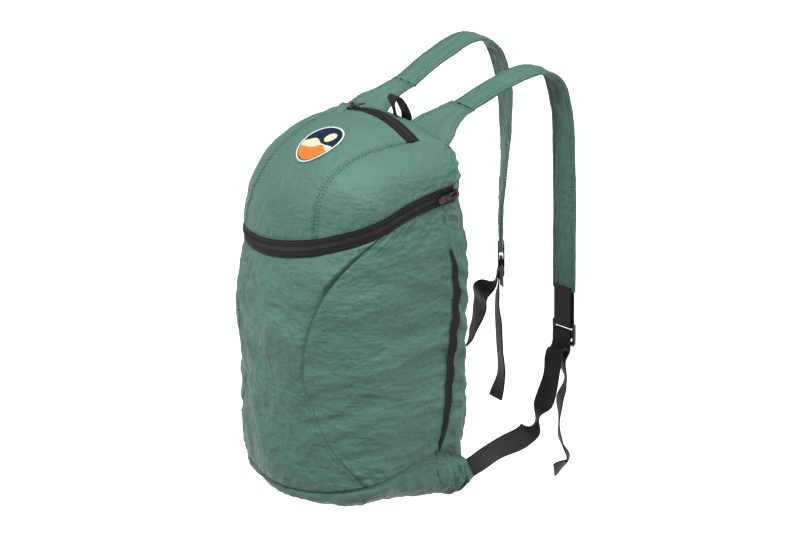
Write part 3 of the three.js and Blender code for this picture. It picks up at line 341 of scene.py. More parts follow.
@dataclass(frozen=True)
class Stitches:
    """A row of thread stitches."""

    pitch: float = 3.9
    length: float = 2.6
    width: float = 0.85
    height: float = 0.32

    def sew(self, parts: MeshParts, line: Array, out: Array) -> None:
        """Adds a stitch at each pitch of a line.

        A stitch is five rings of four corners along its length. Its width follows half
        an ellipse, and it rises in the middle and dips into the cloth at its ends.

        Args:
            parts: what the thread is added to.
            line: the seam's points.
            out: a direction away from the cloth, at each point of the line or one for all.
        """
        points, along = even_steps(line, self.pitch)
        runs = run_lengths(line, 0)
        at = np.linspace(0, runs[-1], len(points))
        outs = np.broadcast_to(out, line.shape)
        out_at = spread(at, runs, outs)
        out_at = unit(out_at - along * np.sum(out_at * along, -1, keepdims=True))
        across = np.cross(along, out_at)
        s = np.linspace(-1, 1, 5)
        radius = np.sqrt(np.maximum(0.06, 1 - s**2)) * self.width / 2
        lift = self.height * (0.75 - s**2)
        turn = np.array([0, 1, 2, 3]) * np.pi / 2
        ring = np.stack([np.cos(turn), np.sin(turn)], -1)
        shape = (
            along[:, None, None] * (s * self.length / 2)[None, :, None, None]
            + across[:, None, None] * (radius[:, None] * ring[:, 0])[None, ..., None]
            + out_at[:, None, None]
            * (lift[:, None] + radius[:, None] * ring[:, 1])[None, ..., None]
        )
        copies = points[:, None, None] + shape
        faces = grid_faces(5, 4, wrap=True)
        caps = np.array([[0, 1, 2, 3], [19, 18, 17, 16]])
        one = np.concatenate([faces[:, ::-1], caps[:, ::-1]])
        parts.add(copies, [repeated(one, len(points), 20)])

    def sew_beside(self, parts: MeshParts, grid: Array, axis: int, distance: float,
                   from_end: bool = False) -> None:
        """Sews a row beside a border of a grid, on the line that line_beside gives."""
        line = line_beside(grid, axis, distance, from_end)
        out = line_beside(grid + grid_normals(grid), axis, distance, from_end) - line
        self.sew(parts, line, unit(out))


def outline(station: Array, half: Array, front: Array, back: Array,
            radius: float) -> tuple[Array, Array]:
    """The bag's outline seen from above.

    From station 0 at the front's centre to 1 at the widest point it is a quarter of an
    ellipse, to 2 a straight side, to 3 a round corner, and to 4 half of the straight back.

    Args:
        station: where round the bag, negative on the left.
        half: half the width.
        front: depth in front of the widest point.
        back: depth behind it.
        radius: radius of the back corners.
    Returns:
        X and Y there.
    """
    side = np.where(station < 0, -1.0, 1.0)
    s = np.abs(station)
    quarter = np.pi / 2
    corner = (s - 2) * quarter
    parts = [s <= 1, s <= 2, s <= 3]
    x = np.select(
        parts,
        [half * np.sin(s * quarter), half + 0 * s, half - radius + radius * np.cos(corner)],
        (half - radius) * (4 - s),
    )
    y = np.select(
        parts,
        [
            -front * np.cos(s * quarter),
            (back - radius) * (s - 1),
            back - radius + radius * np.sin(corner),
        ],
        back + 0 * s,
    )
    return side * x, y


@dataclass(frozen=True)
class Ripple:
    """Ripples in the body's cloth, round a station and over a band of its height."""

    station: float
    reach: float
    low: float
    high: float
    count: float
    depth: float
    slant: float


@dataclass(frozen=True)
class BagForm:
    """The main form, with the CAD source's own sizes and tables."""

    half_width: float = 119
    front_depth: float = 79
    back_depth: float = 102
    corner_radius: float = 16
    zip_front_height: float = 276
    zip_rise: float = 66
    zip_width: float = 20
    lid_rise: float = 120
    lid_side_fall: float = 14
    seam_front_height: float = 17
    seam_side_rise: float = 25
    seam_corner_rise: float = 44
    lid_seam_offset: float = 64
    top_zip_front: float = 56
    back_edge_drop: float = 8
    back_top_half_width: float = 95
    back_top_depth: float = 89
    bottom_round_front: float = 2.8
    bottom_round_back: float = 7
    lid_round_centre: float = 2.0
    gore_fall: float = 4
    seam_gap: float = 0.5
    tuck: float = 1.1
    edge_station: float = 2.5
    top_tape: tuple[float, float] = (58.5, 73.5)
    body_part: float = 0.72
    zip_part: float = 0.78
    zip_shape: tuple[float, float, float] = (0.975, 0.860, 0.910)
    width: Curve = Curve(
        (0, 0.10, 0.24, 0.36, 0.56, 0.72, 0.88, 1),
        (0.955, 0.985, 0.985, 0.980, 1.000, 1.000, 0.985, 0.965),
    )
    front: Curve = Curve(
        (0, 0.10, 0.24, 0.36, 0.56, 0.72, 0.88, 1),
        (0.880, 0.935, 0.925, 0.905, 0.985, 1.000, 0.930, 0.815),
    )
    back: Curve = Curve(
        (0, 0.10, 0.24, 0.36, 0.56, 0.72, 0.88, 1),
        (0.985, 0.990, 1.000, 1.000, 1.000, 1.000, 0.950, 0.905),
    )
    curved_seam: Curve = Curve(
        (0, 0.18, 0.32, 0.43, 0.52, 0.62, 0.74, 0.86, 0.95, 1),
        (0.772, 0.507, 0.382, 0.322, 0.304, 0.338, 0.397, 0.507, 0.690, 0.900),
    )
    tape_line: Curve = Curve((0, 0.25, 0.55, 1), (1.74, 1.85, 1.92, 1.86))
    zip_line: Curve = Curve(
        (-2.5, -1.7, -1.0, -0.55, -0.25, 0, 0.3, 0.6, 1.0, 1.5, 2.5),
        (0.42, 0.24, 0.02, -0.11, -0.08, 0.01, 0.20, 0.43, 0.68, 0.86, 1.02),
    )
    ripples: tuple[Ripple, ...] = (
        Ripple(2.20, 0.55, 0.02, 0.98, 8.5, 2.4, 0.9),
        Ripple(1.50, 0.60, 0.05, 0.97, 7.0, 1.0, 0.4),
        Ripple(0.55, 0.50, 0.02, 0.55, 5.0, 0.9, -1.2),
        Ripple(0.00, 0.50, 0.10, 0.95, 3.0, 1.3, 1.5),
    )

    @property
    def lid_height(self) -> float:
        """Height of the lid's crest."""
        return self.zip_front_height + self.lid_rise

    @property
    def back_edge_height(self) -> float:
        """Height of the back's upper edge."""
        return self.lid_height - self.back_edge_drop

    @property
    def top_zip_back(self) -> float:
        """Where the top zip's tape ends at the back."""
        return self.top_zip_front + self.zip_width

    def zip_height(self, station: Array) -> Array:
        """Height of the main zip's middle."""
        return self.zip_front_height + self.zip_rise * self.zip_line.read(station)

    def bottom_seam(self, station: Array) -> Array:
        """Height of the bottom seam: it rises to the sides and corners and falls at the back."""
        s = np.abs(station)
        more = self.seam_corner_rise - self.seam_side_rise
        return (
            self.seam_front_height
            + self.seam_side_rise * smooth(s / 1.2)
            + more * smooth((s - 0.9) / 1.1)
            - more * smooth((s - 2.4) / 1.6)
        )

    def ripple_depth(self, station: Array, share: Array) -> Array:
        """How far the cloth stands out: for each family, a sine along its band, eased at its ends."""
        s = np.abs(station)
        depth = np.zeros(np.broadcast(s, share).shape)
        for r in self.ripples:
            near = 1 - np.minimum(1, np.abs(s - r.station) / r.reach)
            band = np.clip((share - r.low) / (r.high - r.low), 0, 1)
            wave = np.sin(2 * np.pi * (r.count * band + r.slant * (s - r.station)))
            depth += r.depth * smooth(near) * np.sin(np.pi * band) * wave
        return depth

    def body(self, station: Array, share: Array) -> Array:
        """The body's surface by station and share of the way from bottom seam to zip."""
        x, y = outline(
            station,
            self.half_width * self.width.read(share),
            self.front_depth * self.front.read(share),
            self.back_depth * self.back.read(share),
            self.corner_radius,
        )
        top = self.zip_height(station) - self.zip_width / 2 + self.tuck
        depth = self.ripple_depth(station, share)
        reach = np.hypot(x, y)
        z = mix(self.bottom_seam(station), top, share)
        return points_of(x * (1 + depth / reach), y * (1 + depth / reach), z)

    def zip_band(self, station: Array, share: Array) -> Array:
        """The band of the main zip, share 0 at its lower edge and 1 at its upper."""
        width, front, back = self.zip_shape
        x, y = outline(
            station,
            self.half_width * width,
            self.front_depth * front,
            self.back_depth * back,
            self.corner_radius,
        )
        return points_of(x, y, self.zip_height(station) + self.zip_width * (share - 0.5))

    def crest(self, x: Array) -> Array:
        """Height of the lid's crest at a distance from the middle."""
        return self.lid_height - self.lid_side_fall * (x / self.lid_seam_offset) ** 2

    @staticmethod
    def arc(base: Array, top: Array, roundness: Array, share: Array) -> Array:
        """A rounded way up from base to top, as a quarter of a superellipse."""
        turn = np.clip(share, 0, 1) * np.pi / 2
        inward = 1 - np.cos(turn).clip(0) ** (2 / roundness)
        upward = np.sin(turn) ** (2 / roundness)
        amount = points_of(inward, inward, upward)
        return mix(base, top, amount)

    def lid_base(self, station: Array) -> Array:
        """The lid's lower edge, just above the zip."""
        return self.zip_band(station, np.ones_like(station)) + np.array([0, 0, -self.tuck])

    def seam_station(self, x: Array) -> Array:
        """The station whose X is x in the zip's outline."""
        return np.arcsin(x / (self.half_width * self.zip_shape[0])) / (np.pi / 2)

    def lid(self, across: Array, share: Array) -> Array:
        """The lid's centre piece: across -1 to 1 between its seams, share from zip to crest."""
        x = across * self.lid_seam_offset
        top = points_of(x, self.top_tape[0] - self.seam_gap, self.crest(x))
        seam = np.where(across < 0, 1.9, 3.0)
        roundness = mix(self.lid_round_centre, seam, np.abs(across) ** 1.5)
        return self.arc(self.lid_base(self.seam_station(x)), top, roundness, share)

    def gore_top(self, share: Array) -> Array:
        """The gore's upper edge: along the top zip's end, then out to the back corner."""
        zip_end = self.top_zip_back / (self.top_zip_back + self.back_top_half_width)
        inner = self.lid_seam_offset + self.seam_gap
        t = np.clip((share - zip_end) / (1 - zip_end), 0, 1)
        first = np.clip(share / zip_end, 0, 1)
        height = self.crest(np.array(self.lid_seam_offset))
        return points_of(
            mix(inner, self.back_top_half_width, t),
            mix(mix(self.top_zip_front, self.top_zip_back, first), self.back_top_depth, t),
            height - self.gore_fall * t,
        )

    def gore(self, side: Side, share: Array, up: Array) -> Array:
        """A side of the lid: share from the lid's seam to the back corner, up from the zip."""
        start = self.seam_station(np.array(self.lid_seam_offset))
        base = self.lid_base(side.value * mix(start, self.edge_station, share))
        top = self.gore_top(share) * np.array([side.value, 1, 1])
        seam, corner = (3.0, 2.4) if side is Side.RIGHT else (1.9, 2.6)
        return self.arc(base, top, mix(seam, corner, share), up)

    def back_edge(self, side: Side, up: Array) -> Array:
        """Where the back meets its neighbours: the body, past the zip's end, then the gore."""
        station = side.value * self.edge_station + 0 * up
        body = self.body(station, np.clip(up / self.body_part, 0, 1))
        gore_up = np.clip((up - self.zip_part) / (1 - self.zip_part), 0, 1)
        gore = self.gore(side, np.ones_like(up), gore_up)
        share = np.clip((up - self.body_part) / (self.zip_part - self.body_part), 0, 1)
        return mix(body, gore, share[..., None])

    def back_sheet(self, across: Array, up: Array) -> Array:
        """The back: across 1 at the right edge to -1 at the left, up from the bottom seam."""
        edge = np.where(
            (across > 0)[..., None], self.back_edge(Side.RIGHT, up), self.back_edge(Side.LEFT, up)
        )
        station = mix(4.0, self.edge_station, np.abs(across) ** 1.4)
        inset = self.corner_radius * (1 - math.sqrt(0.5))
        sign = np.where(across < 0, -1.0, 1.0)
        x, y = outline(station, np.abs(edge[..., 0]) + inset, self.front_depth, edge[..., 1] + inset,
                       self.corner_radius)
        rise = smooth((station - self.edge_station) / (4 - self.edge_station))
        low = self.bottom_seam(np.array(4.0))
        middle = mix(low, self.back_edge_height, up)
        return points_of(sign * x, y, mix(edge[..., 2], middle, rise))

    def bottom(self, rim: Array, share: Array) -> Array:
        """The bottom: from a rim point, a superellipse down and in to the lowest point."""
        turn = share * np.pi / 2
        roundness = mix(
            self.bottom_round_front, self.bottom_round_back, smooth(rim[..., 1] / self.back_depth)
        )
        inward = np.cos(turn).clip(0) ** (2 / roundness)
        down = np.sin(turn) ** (2 / roundness)
        return points_of(rim[..., 0] * inward, rim[..., 1] * inward, rim[..., 2] * (1 - down))


FORM = BagForm()


@dataclass(frozen=True)
class RibbonWay:
    """The middle line of a ribbon, with the directions of its width and of its face."""

    centre: Array
    along: Array
    lie: Array
    face: Array
    share: Array

    @property
    def runs(self) -> Array:
        """Distance from the start at each point."""
        return run_lengths(self.centre, 0)


def catmull(points: Array, t: Array) -> Array:
    """A smooth line through points, whose knots lie at the square roots of their distances.

    Args:
        points: the points that it goes through.
        t: where to read it, 0 at the first point and 1 at the last, even by number.
    Returns:
        The places there.
    """
    ends = [2 * points[0] - points[1], 2 * points[-1] - points[-2]]
    p = np.concatenate([ends[:1], points, ends[1:]])
    last = len(points) - 1
    i = np.clip(np.floor(t * last).astype(int), 0, last - 1)
    w = (t * last - i)[:, None]
    a, b, c, d = (p[i + k] for k in range(4))
    gap = [
        np.sqrt(np.linalg.norm(v - u, axis=-1, keepdims=True)).clip(0.01)
        for u, v in ((a, b), (b, c), (c, d))
    ]
    start = ((b - a) / gap[0] - (c - a) / (gap[0] + gap[1]) + (c - b) / gap[1]) * gap[1]
    end = ((c - b) / gap[1] - (d - b) / (gap[1] + gap[2]) + (d - c) / gap[2]) * gap[1]
    return b + start * w + (3 * (c - b) - 2 * start - end) * w**2 + (2 * (b - c) + start + end) * w**3


def slope_of(points: Array, t: Array) -> Array:
    """The direction of the smooth line at t."""
    step = 1e-4
    return unit(catmull(points, np.minimum(1, t + step)) - catmull(points, np.maximum(0, t - step)))


def turned(vector: Array, axis: Array, degrees: float) -> Array:
    """A vector turned about an axis by the right-hand rule."""
    a = math.radians(degrees)
    return (
        vector * math.cos(a)
        + np.cross(axis, vector) * math.sin(a)
        + axis * np.dot(axis, vector) * (1 - math.cos(a))
    )


def sideways(along: Array, degrees: float) -> Array:
    """The direction square to a line that is nearest to X, turned about the line."""
    x = np.array([1.0, 0.0, 0.0])
    return turned(unit(x - along * np.dot(x, along)), along, degrees)


def ribbon_way(points: Array, lies: Sequence[Optional[Array]], turns: Sequence[float],
               step: float) -> RibbonWay:
    """Lays a ribbon's middle line, with even steps, as the CAD source does.

    Args:
        points: the rows' centres.
        lies: the direction of the width at each row, or nothing to take its turn.
        turns: the turn of the width from sideways at each row, in degrees.
        step: distance between the points of the result, in millimetres.
    Returns:
        The line and its directions.
    """
    last = len(points) - 1
    fine = np.linspace(0, 1, 60 * last + 1)
    runs = run_lengths(catmull(points, fine), 0)
    t = np.interp(np.linspace(0, runs[-1], max(8, int(runs[-1] / step))), runs, fine)
    slopes = slope_of(points, np.arange(last + 1) / last)
    rows = np.array([
        sideways(slopes[i], turns[i]) if lies[i] is None else lies[i] for i in range(last + 1)
    ])
    row = np.clip(np.floor(t * last + 1e-9).astype(int), 0, last - 1)
    along = slope_of(points, t)
    lie = mix(rows[row], rows[row + 1], smooth(t * last - row)[:, None])
    lie = unit(lie - along * np.sum(lie * along, -1, keepdims=True))
    return RibbonWay(catmull(points, t), along, lie, np.cross(along, lie), t)


def add_ribbon(parts: MeshParts, way: RibbonWay, across: Array, height: Array,
               out: Array | float = 0.0) -> Array:
    """Carries a closed profile along a ribbon's way and closes its ends.

    Args:
        parts: what it is added to.
        way: the middle line.
        across: the profile's places across the width, for each step and corner.
        height: its heights over the middle, for each step and corner.
        out: how far the whole section is moved along its face.
    Returns:
        The points, steps by corners.
    """
    shape = np.broadcast_shapes(across.shape, height.shape)
    a, h = np.broadcast_to(across, shape), np.broadcast_to(height, shape)
    rings = (
        way.centre[:, None]
        + way.lie[:, None] * a[..., None]
        + way.face[:, None] * (h + out)[..., None]
    )
    steps, corners = shape
    faces = grid_faces(steps, corners, wrap=True)
    middle = np.stack([rings[0].mean(0), rings[-1].mean(0)])
    total = steps * corners
    first = np.arange(corners)
    last = first + (steps - 1) * corners
    caps = [
        np.stack([first, np.roll(first, -1), np.full(corners, total)], -1),
        np.stack([np.roll(last, -1), last, np.full(corners, total + 1)], -1),
    ]
    flat = np.stack([a, np.broadcast_to(way.runs[:, None], shape)], -1).reshape(-1, 2)
    parts.add(
        np.concatenate([rings.reshape(-1, 3), middle]),
        [faces[:, ::-1], np.concatenate(caps)[:, ::-1]],
        np.concatenate([flat, np.zeros((2, 2))]),
    )
    return rings


def flat_profile(count: int, edge: int) -> tuple[Array, Array]:
    """A flat profile with round edges, as shares of half the width and half the thickness.

    Args:
        count: points along each face.
        edge: points round each edge.
    Returns:
        Places across, 1 at one edge and -1 at the other, and heights, with the edges'
        half circles counted as places past 1 by their share of half the thickness.
    """
    face = np.linspace(1, -1, count)
    turn = np.linspace(0, np.pi, edge + 2)[1:-1]
    across = np.concatenate([face, -1 - 1j * np.sin(turn), -face, 1 + 1j * np.sin(turn)])
    height = np.concatenate([np.ones(count), np.cos(turn), -np.ones(count), -np.cos(turn)])
    return across, height


class Nodes:
    """A small helper that lays a material's nodes."""

    def __init__(self, name: str) -> None:
        """Starts an empty material with its shader and output."""
        self.material = bpy.data.materials.new(name)
        self.material.use_nodes = True
        self.tree = self.material.node_tree
        self.tree.nodes.clear()
        self.shader = self.add("ShaderNodeBsdfPrincipled")
        output = self.add("ShaderNodeOutputMaterial")
        self.join(self.shader.outputs[0], output.inputs[0])

    def add(self, kind: str, **settings: object) -> bpy.types.Node:
        """Adds a node and sets its own settings."""
        node = self.tree.nodes.new(kind)
        for key, value in settings.items():
            setattr(node, key, value)
        return node

    def join(self, source: bpy.types.NodeSocket, target: bpy.types.NodeSocket) -> None:
        """Links one socket to another."""
        self.tree.links.new(source, target)

    def put(self, target: bpy.types.NodeSocket, value: object) -> None:
        """Links a socket's value, or sets a plain one."""
        if isinstance(value, bpy.types.NodeSocket):
            self.join(value, target)
        else:
            target.default_value = value

    def math(self, operation: str, a: object, b: object = 0.0) -> bpy.types.NodeSocket:
        """A sum or other step on two values."""
        node = self.add("ShaderNodeMath", operation=operation)
        self.put(node.inputs[0], a)
        self.put(node.inputs[1], b)
        return node.outputs[0]

    def place(self) -> bpy.types.NodeSocket:
        """Object coordinates, in metres."""
        return self.add("ShaderNodeTexCoord").outputs["Object"]

    def flat(self) -> tuple[bpy.types.NodeSocket, bpy.types.NodeSocket]:
        """The piece's own flat coordinates, in metres."""
        split = self.add("ShaderNodeSeparateXYZ")
        self.join(self.add("ShaderNodeUVMap", uv_map="cloth").outputs[0], split.inputs[0])
        return split.outputs[0], split.outputs[1]

    def noise(self, scale: float, detail: float = 3, distortion: float = 0.0,
              stretch: Sequence[float] = (1, 1, 1)) -> bpy.types.NodeSocket:
        """Noise on Object coordinates, with scale in cycles a metre, times stretch on each axis."""
        node = self.add("ShaderNodeTexNoise")
        warp = self.add("ShaderNodeVectorMath", operation="MULTIPLY")
        self.join(self.place(), warp.inputs[0])
        warp.inputs[1].default_value = stretch
        self.join(warp.outputs[0], node.inputs["Vector"])
        node.inputs["Scale"].default_value = scale
        node.inputs["Detail"].default_value = detail
        node.inputs["Distortion"].default_value = distortion
        return node.outputs["Fac"]

    def cells(self, scale: float) -> bpy.types.NodeSocket:
        """Distance to the edges of cells: flat facets with creases between them."""
        node = self.add("ShaderNodeTexVoronoi", feature="DISTANCE_TO_EDGE")
        warp = self.add("ShaderNodeVectorMath", operation="ADD")
        noise = self.add("ShaderNodeTexNoise")
        self.join(self.place(), noise.inputs["Vector"])
        noise.inputs["Scale"].default_value = scale * 0.6
        shrink = self.add("ShaderNodeVectorMath", operation="SCALE")
        self.join(noise.outputs["Color"], shrink.inputs[0])
        shrink.inputs["Scale"].default_value = 0.9 / scale
        self.join(self.place(), warp.inputs[0])
        self.join(shrink.outputs[0], warp.inputs[1])
        self.join(warp.outputs[0], node.inputs["Vector"])
        node.inputs["Scale"].default_value = scale
        return node.outputs["Distance"]

    def lines(self, value: object, pitch: float, share: float) -> bpy.types.NodeSocket:
        """Soft lines across a flat coordinate: one where its sine tops 1 less share."""
        over = self.math("SUBTRACT", self.wave(value, pitch), 1 - share)
        return self.math("MAXIMUM", self.math("DIVIDE", over, share), 0.0)

    def wave(self, value: object, pitch: float) -> bpy.types.NodeSocket:
        """A sine across a flat coordinate."""
        return self.math("SINE", self.math("MULTIPLY", value, 2 * math.pi / pitch))

    def blend(self, share: object, a: Sequence[float], b: object) -> bpy.types.NodeSocket:
        """A mix of two colours, share of b."""
        node = self.add("ShaderNodeMix", data_type="RGBA", clamp_factor=True)
        self.put(node.inputs[0], share)
        for socket, value in ((node.inputs[6], a), (node.inputs[7], b)):
            self.put(socket, value if isinstance(value, bpy.types.NodeSocket) else (*value, 1))
        return node.outputs[2]

    def range(self, value: object, low: float, high: float, to_low: float = 0,
              to_high: float = 1) -> bpy.types.NodeSocket:
        """A value carried from one range to another and held there."""
        node = self.add("ShaderNodeMapRange")
        for i, part in enumerate((value, low, high, to_low, to_high)):
            self.put(node.inputs[i], part)
        return node.outputs[0]

    def bump(self, height: object, distance: float, under: object = None) -> bpy.types.NodeSocket:
        """A bump of a height, in metres, over another one if it is given."""
        node = self.add("ShaderNodeBump")
        node.inputs["Strength"].default_value = 1.0
        node.inputs["Distance"].default_value = distance
        self.put(node.inputs["Height"], height)
        if under is not None:
            self.join(under, node.inputs["Normal"])
        return node.outputs[0]

    def close(self, colour: object, roughness: object, normal: object = None,
              **constant: float) -> bpy.types.Material:
        """Sets the shader's sockets and gives the material."""
        sockets = self.shader.inputs
        base = colour if isinstance(colour, bpy.types.NodeSocket) else (*colour, 1)
        self.put(sockets["Base Color"], base)
        self.put(sockets["Roughness"], roughness)
        if normal is not None:
            self.join(normal, sockets["Normal"])
        for key, value in constant.items():
            sockets[key.replace("_", " ")].default_value = value
        return self.material


@dataclass(frozen=True)
class CrinkledNylon:
    """Thin parachute nylon: a soft sheen, fine creases and a faint ripstop grid."""

    line: tuple[float, float, float] = (0.14, 0.28, 0.225)
    colour: tuple[float, float, float] = (0.088, 0.200, 0.158)
    shade: tuple[float, float, float] = (0.070, 0.165, 0.128)
    grid: float = 0.0052

    def build(self) -> bpy.types.Material:
        """Lays the material's nodes."""
        n = Nodes("crinkled_nylon")
        u, v = n.flat()
        ripstop = n.math("MAXIMUM", n.lines(u, self.grid, 0.06), n.lines(v, self.grid, 0.06))
        weave = n.math("MULTIPLY", n.wave(u, 0.0007), n.wave(v, 0.0007))
        patches = n.range(n.noise(14, 4, 0.6), 0.3, 0.7)
        colour = n.blend(patches, self.shade, self.colour)
        colour = n.blend(n.math("MULTIPLY", ripstop, 0.22), colour, self.line)
        roughness = n.range(n.noise(160, 3), 0.3, 0.7, 0.46, 0.62)
        creases = n.bump(n.range(n.cells(110), 0.0, 0.3), 0.0004)
        drawn = n.bump(n.noise(75, 5, 0.8, (0.55, 0.55, 2.4)), 0.0016, under=creases)
        soft = n.bump(n.noise(260, 4, 1.6), 0.0005, under=drawn)
        normal = n.bump(n.math("ADD", n.math("MULTIPLY", ripstop, 0.6), weave), 0.00005, under=soft)
        return n.close(colour, roughness, normal, Sheen_Weight=0.05, Sheen_Roughness=0.4,
                       Specular_IOR_Level=0.32)


@dataclass(frozen=True)
class TwillWebbing:
    """Black webbing with slanted ribs."""

    dark: tuple[float, float, float] = (0.004, 0.004, 0.0042)
    light: tuple[float, float, float] = (0.017, 0.017, 0.0175)
    worn: tuple[float, float, float] = (0.020, 0.020, 0.0205)
    rib: float = 0.0021

    def build(self) -> bpy.types.Material:
        """Lays the material's nodes."""
        n = Nodes("twill_webbing")
        u, v = n.flat()
        zigzag = n.math("ABSOLUTE", u)
        slant = n.math("ADD", v, n.math("MULTIPLY", zigzag, 0.55))
        ribs = n.wave(slant, self.rib)
        yarn = n.wave(u, 0.0011)
        cloth = n.math("ADD", ribs, n.math("MULTIPLY", yarn, 0.35))
        light = n.range(cloth, -1.0, 1.3)
        colour = n.blend(light, self.dark, self.light)
        colour = n.blend(n.range(n.noise(60, 3), 0.35, 0.75, 0, 0.35), colour, self.worn)
        normal = n.bump(n.noise(900, 2), 0.0001, under=n.bump(cloth, 0.00012))
        return n.close(colour, n.range(light, 0, 1, 0.75, 0.58), normal, Specular_IOR_Level=0.28)


@dataclass(frozen=True)
class ZipTape:
    """Black woven zip tape in a fine herringbone."""

    dark: tuple[float, float, float] = (0.005, 0.005, 0.0055)
    light: tuple[float, float, float] = (0.030, 0.028, 0.028)
    rib: float = 0.0016

    def build(self) -> bpy.types.Material:
        """Lays the material's nodes."""
        n = Nodes("zip_tape")
        u, v = n.flat()
        fold = n.math("ABSOLUTE", n.math("SUBTRACT", n.math("FRACT", n.math("DIVIDE", v, 0.0046)), 0.5))
        slant = n.math("ADD", u, n.math("MULTIPLY", fold, 0.0035))
        ribs = n.wave(slant, self.rib)
        light = n.range(n.math("ADD", ribs, n.range(n.noise(700, 3), 0.3, 0.7, -1, 1)), -0.6, 1.8)
        colour = n.blend(light, self.dark, self.light)
        normal = n.bump(ribs, 0.00008)
        return n.close(colour, 0.85, normal, Specular_IOR_Level=0.22)


@dataclass(frozen=True)
class MouldedPlastic:
    """Black moulded plastic with a fine grain."""

    name: str = "moulded_plastic"
    roughness: float = 0.38
    colour: tuple[float, float, float] = (0.011, 0.011, 0.012)

    def build(self) -> bpy.types.Material:
        """Lays the material's nodes."""
        n = Nodes(self.name)
        wear = n.range(n.noise(120, 4), 0.45, 0.8, 0, 0.4)
        colour = n.blend(wear, self.colour, (0.022, 0.022, 0.023))
        normal = n.bump(n.noise(2600, 2), 0.00003)
        rough = n.range(n.noise(300, 3), 0.3, 0.7, self.roughness, self.roughness + 0.12)
        return n.close(colour, rough, normal)


@dataclass(frozen=True)
class BronzeLacquer:
    """Dark lacquered metal, with painted highlights: lighter, glossier brown patches in places."""

    lacquer: tuple[float, float, float] = (0.026, 0.018, 0.014)
    # The lighter brown is a painted highlight, not bare metal.
    bare: tuple[float, float, float] = (0.15, 0.105, 0.08)

    def build(self) -> bpy.types.Material:
        """Lays the material's nodes."""
        n = Nodes("bronze_lacquer")
        # Painted highlights: noise patches at random places turn the metal lighter brown and a little
        # glossier.
        painted_highlight = n.range(n.noise(420, 4, 0.8), 0.48, 0.78)
        colour = n.blend(painted_highlight, self.lacquer, self.bare)
        normal = n.bump(n.noise(1800, 3), 0.00004)
        return n.close(colour, n.range(painted_highlight, 0, 1, 0.42, 0.3), normal, Metallic=0.85)


@dataclass(frozen=True)
class Thread:
    """Polyester sewing thread."""

    name: str
    colour: tuple[float, float, float]

    def build(self) -> bpy.types.Material:
        """Lays the material's nodes."""
        n = Nodes(self.name)
        twist = n.noise(1500, 2)
        colour = n.blend(n.range(twist, 0.3, 0.7), self.colour, tuple(1.5 * c for c in self.colour))
        return n.close(colour, 0.6, n.bump(twist, 0.00008), Sheen_Weight=0.1)


@dataclass(frozen=True)
class PatchTwill:
    """The badge's printed twill, in one colour a part."""

    name: str
    colour: tuple[float, float, float]

    def build(self) -> bpy.types.Material:
        """Lays the material's nodes."""
        n = Nodes(self.name)
        u, v = n.flat()
        twill = n.wave(n.math("ADD", u, v), 0.0009)
        darker = tuple(0.82 * c for c in self.colour)
        colour = n.blend(n.range(twill, -1, 1, 0, 0.6), self.colour, darker)
        return n.close(colour, 0.7, n.bump(twill, 0.00005), Specular_IOR_Level=0.2)


@dataclass(frozen=True)
class PaleFloor:
    """The studio's plain pale floor."""

    def build(self) -> bpy.types.Material:
        """Lays the material's nodes."""
        n = Nodes("pale_floor")
        n.shader.inputs["Emission Color"].default_value = (1, 1, 1, 1)
        return n.close((0.9, 0.9, 0.9), 0.9, Specular_IOR_Level=0.0, Emission_Strength=1.0)


class Finishes:
    """Every material, built once."""

    def __init__(self) -> None:
        """Builds the materials."""
        self.nylon = CrinkledNylon().build()
        self.webbing = TwillWebbing().build()
        self.tape = ZipTape().build()
        self.plastic = MouldedPlastic().build()
        self.coil = MouldedPlastic("coil_nylon", 0.7, (0.010, 0.010, 0.0105)).build()
        self.metal = BronzeLacquer().build()
        self.green_thread = Thread("green_thread", (0.016, 0.045, 0.034)).build()
        self.black_thread = Thread("black_thread", (0.010, 0.010, 0.011)).build()
        self.patch = {
            "field": PatchTwill("patch_navy", (0.003, 0.015, 0.044)).build(),
            "border": PatchTwill("patch_border", (0.74, 0.80, 0.80)).build(),
            "cream": PatchTwill("patch_cream", (0.83, 0.72, 0.48)).build(),
            "orange": PatchTwill("patch_orange", (0.80, 0.20, 0.035)).build(),
        }
        self.floor = PaleFloor().build()


class Slot(Enum):
    """The record's material slots."""

    RIPSTOP = "ripstop"
    WEBBING = "webbing"
    ZIP_TAPE = "zip_tape"
    BLACK_PLASTIC = "black_plastic"
    DARK_METAL = "dark_metal"
    BADGE = "badge"


def settle(piece: bpy.types.Object, finish: bpy.types.Material,
           nodes: Sequence[str] = ()) -> None:
    """Gives a piece its finish, its body and the CAD nodes that it stands for."""
    piece.data.materials.append(finish)
    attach(piece, "pack")
    if nodes:
        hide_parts(*nodes)
    LOG.info("%s: %d faces", piece.name, len(piece.data.polygons))


@dataclass(frozen=True)
class Pull:
    """How a border draws the cloth beside it, with distances from it in millimetres.

    calm is the strip that stays free of folds and fade the width over which they grow;
    start and ease say the same of the puckers, which are strength times as high.
    """

    calm: float
    fade: float
    start: float
    ease: float
    strength: float
    reach: float


SEWN_PULL = Pull(calm=0, fade=7, start=0, ease=3, strength=2.2, reach=1)
GATHER_PULL = Pull(calm=3.5, fade=9, start=4, ease=6, strength=3.6, reach=1.5)


class Border(Enum):
    """What a sheet's border is sewn to, with its share of the seam's dip."""

    SEAM = 1.0
    GATHERED = 0.9
    ZIP = 0.5
    FREE = 0.0


@dataclass(frozen=True)
class Folds:
    """How a sheet of cloth creases, with every height and size in millimetres."""

    dents: float = 2.0
    creases: float = 1.3
    fine: float = 0.5
    puckers: float = 0.8
    pucker_reach: float = 13.0
    pucker_pitch: float = 7.5
    stretch: tuple[float, float, float] = (1.0, 1.0, 1.0)
    dip: float = 1.3
    dip_width: float = 1.1
    ridge: float = 0.45
    dent_size: float = 58
    crease_size: float = 24
    fine_size: float = 10
    grain_size: float = 4


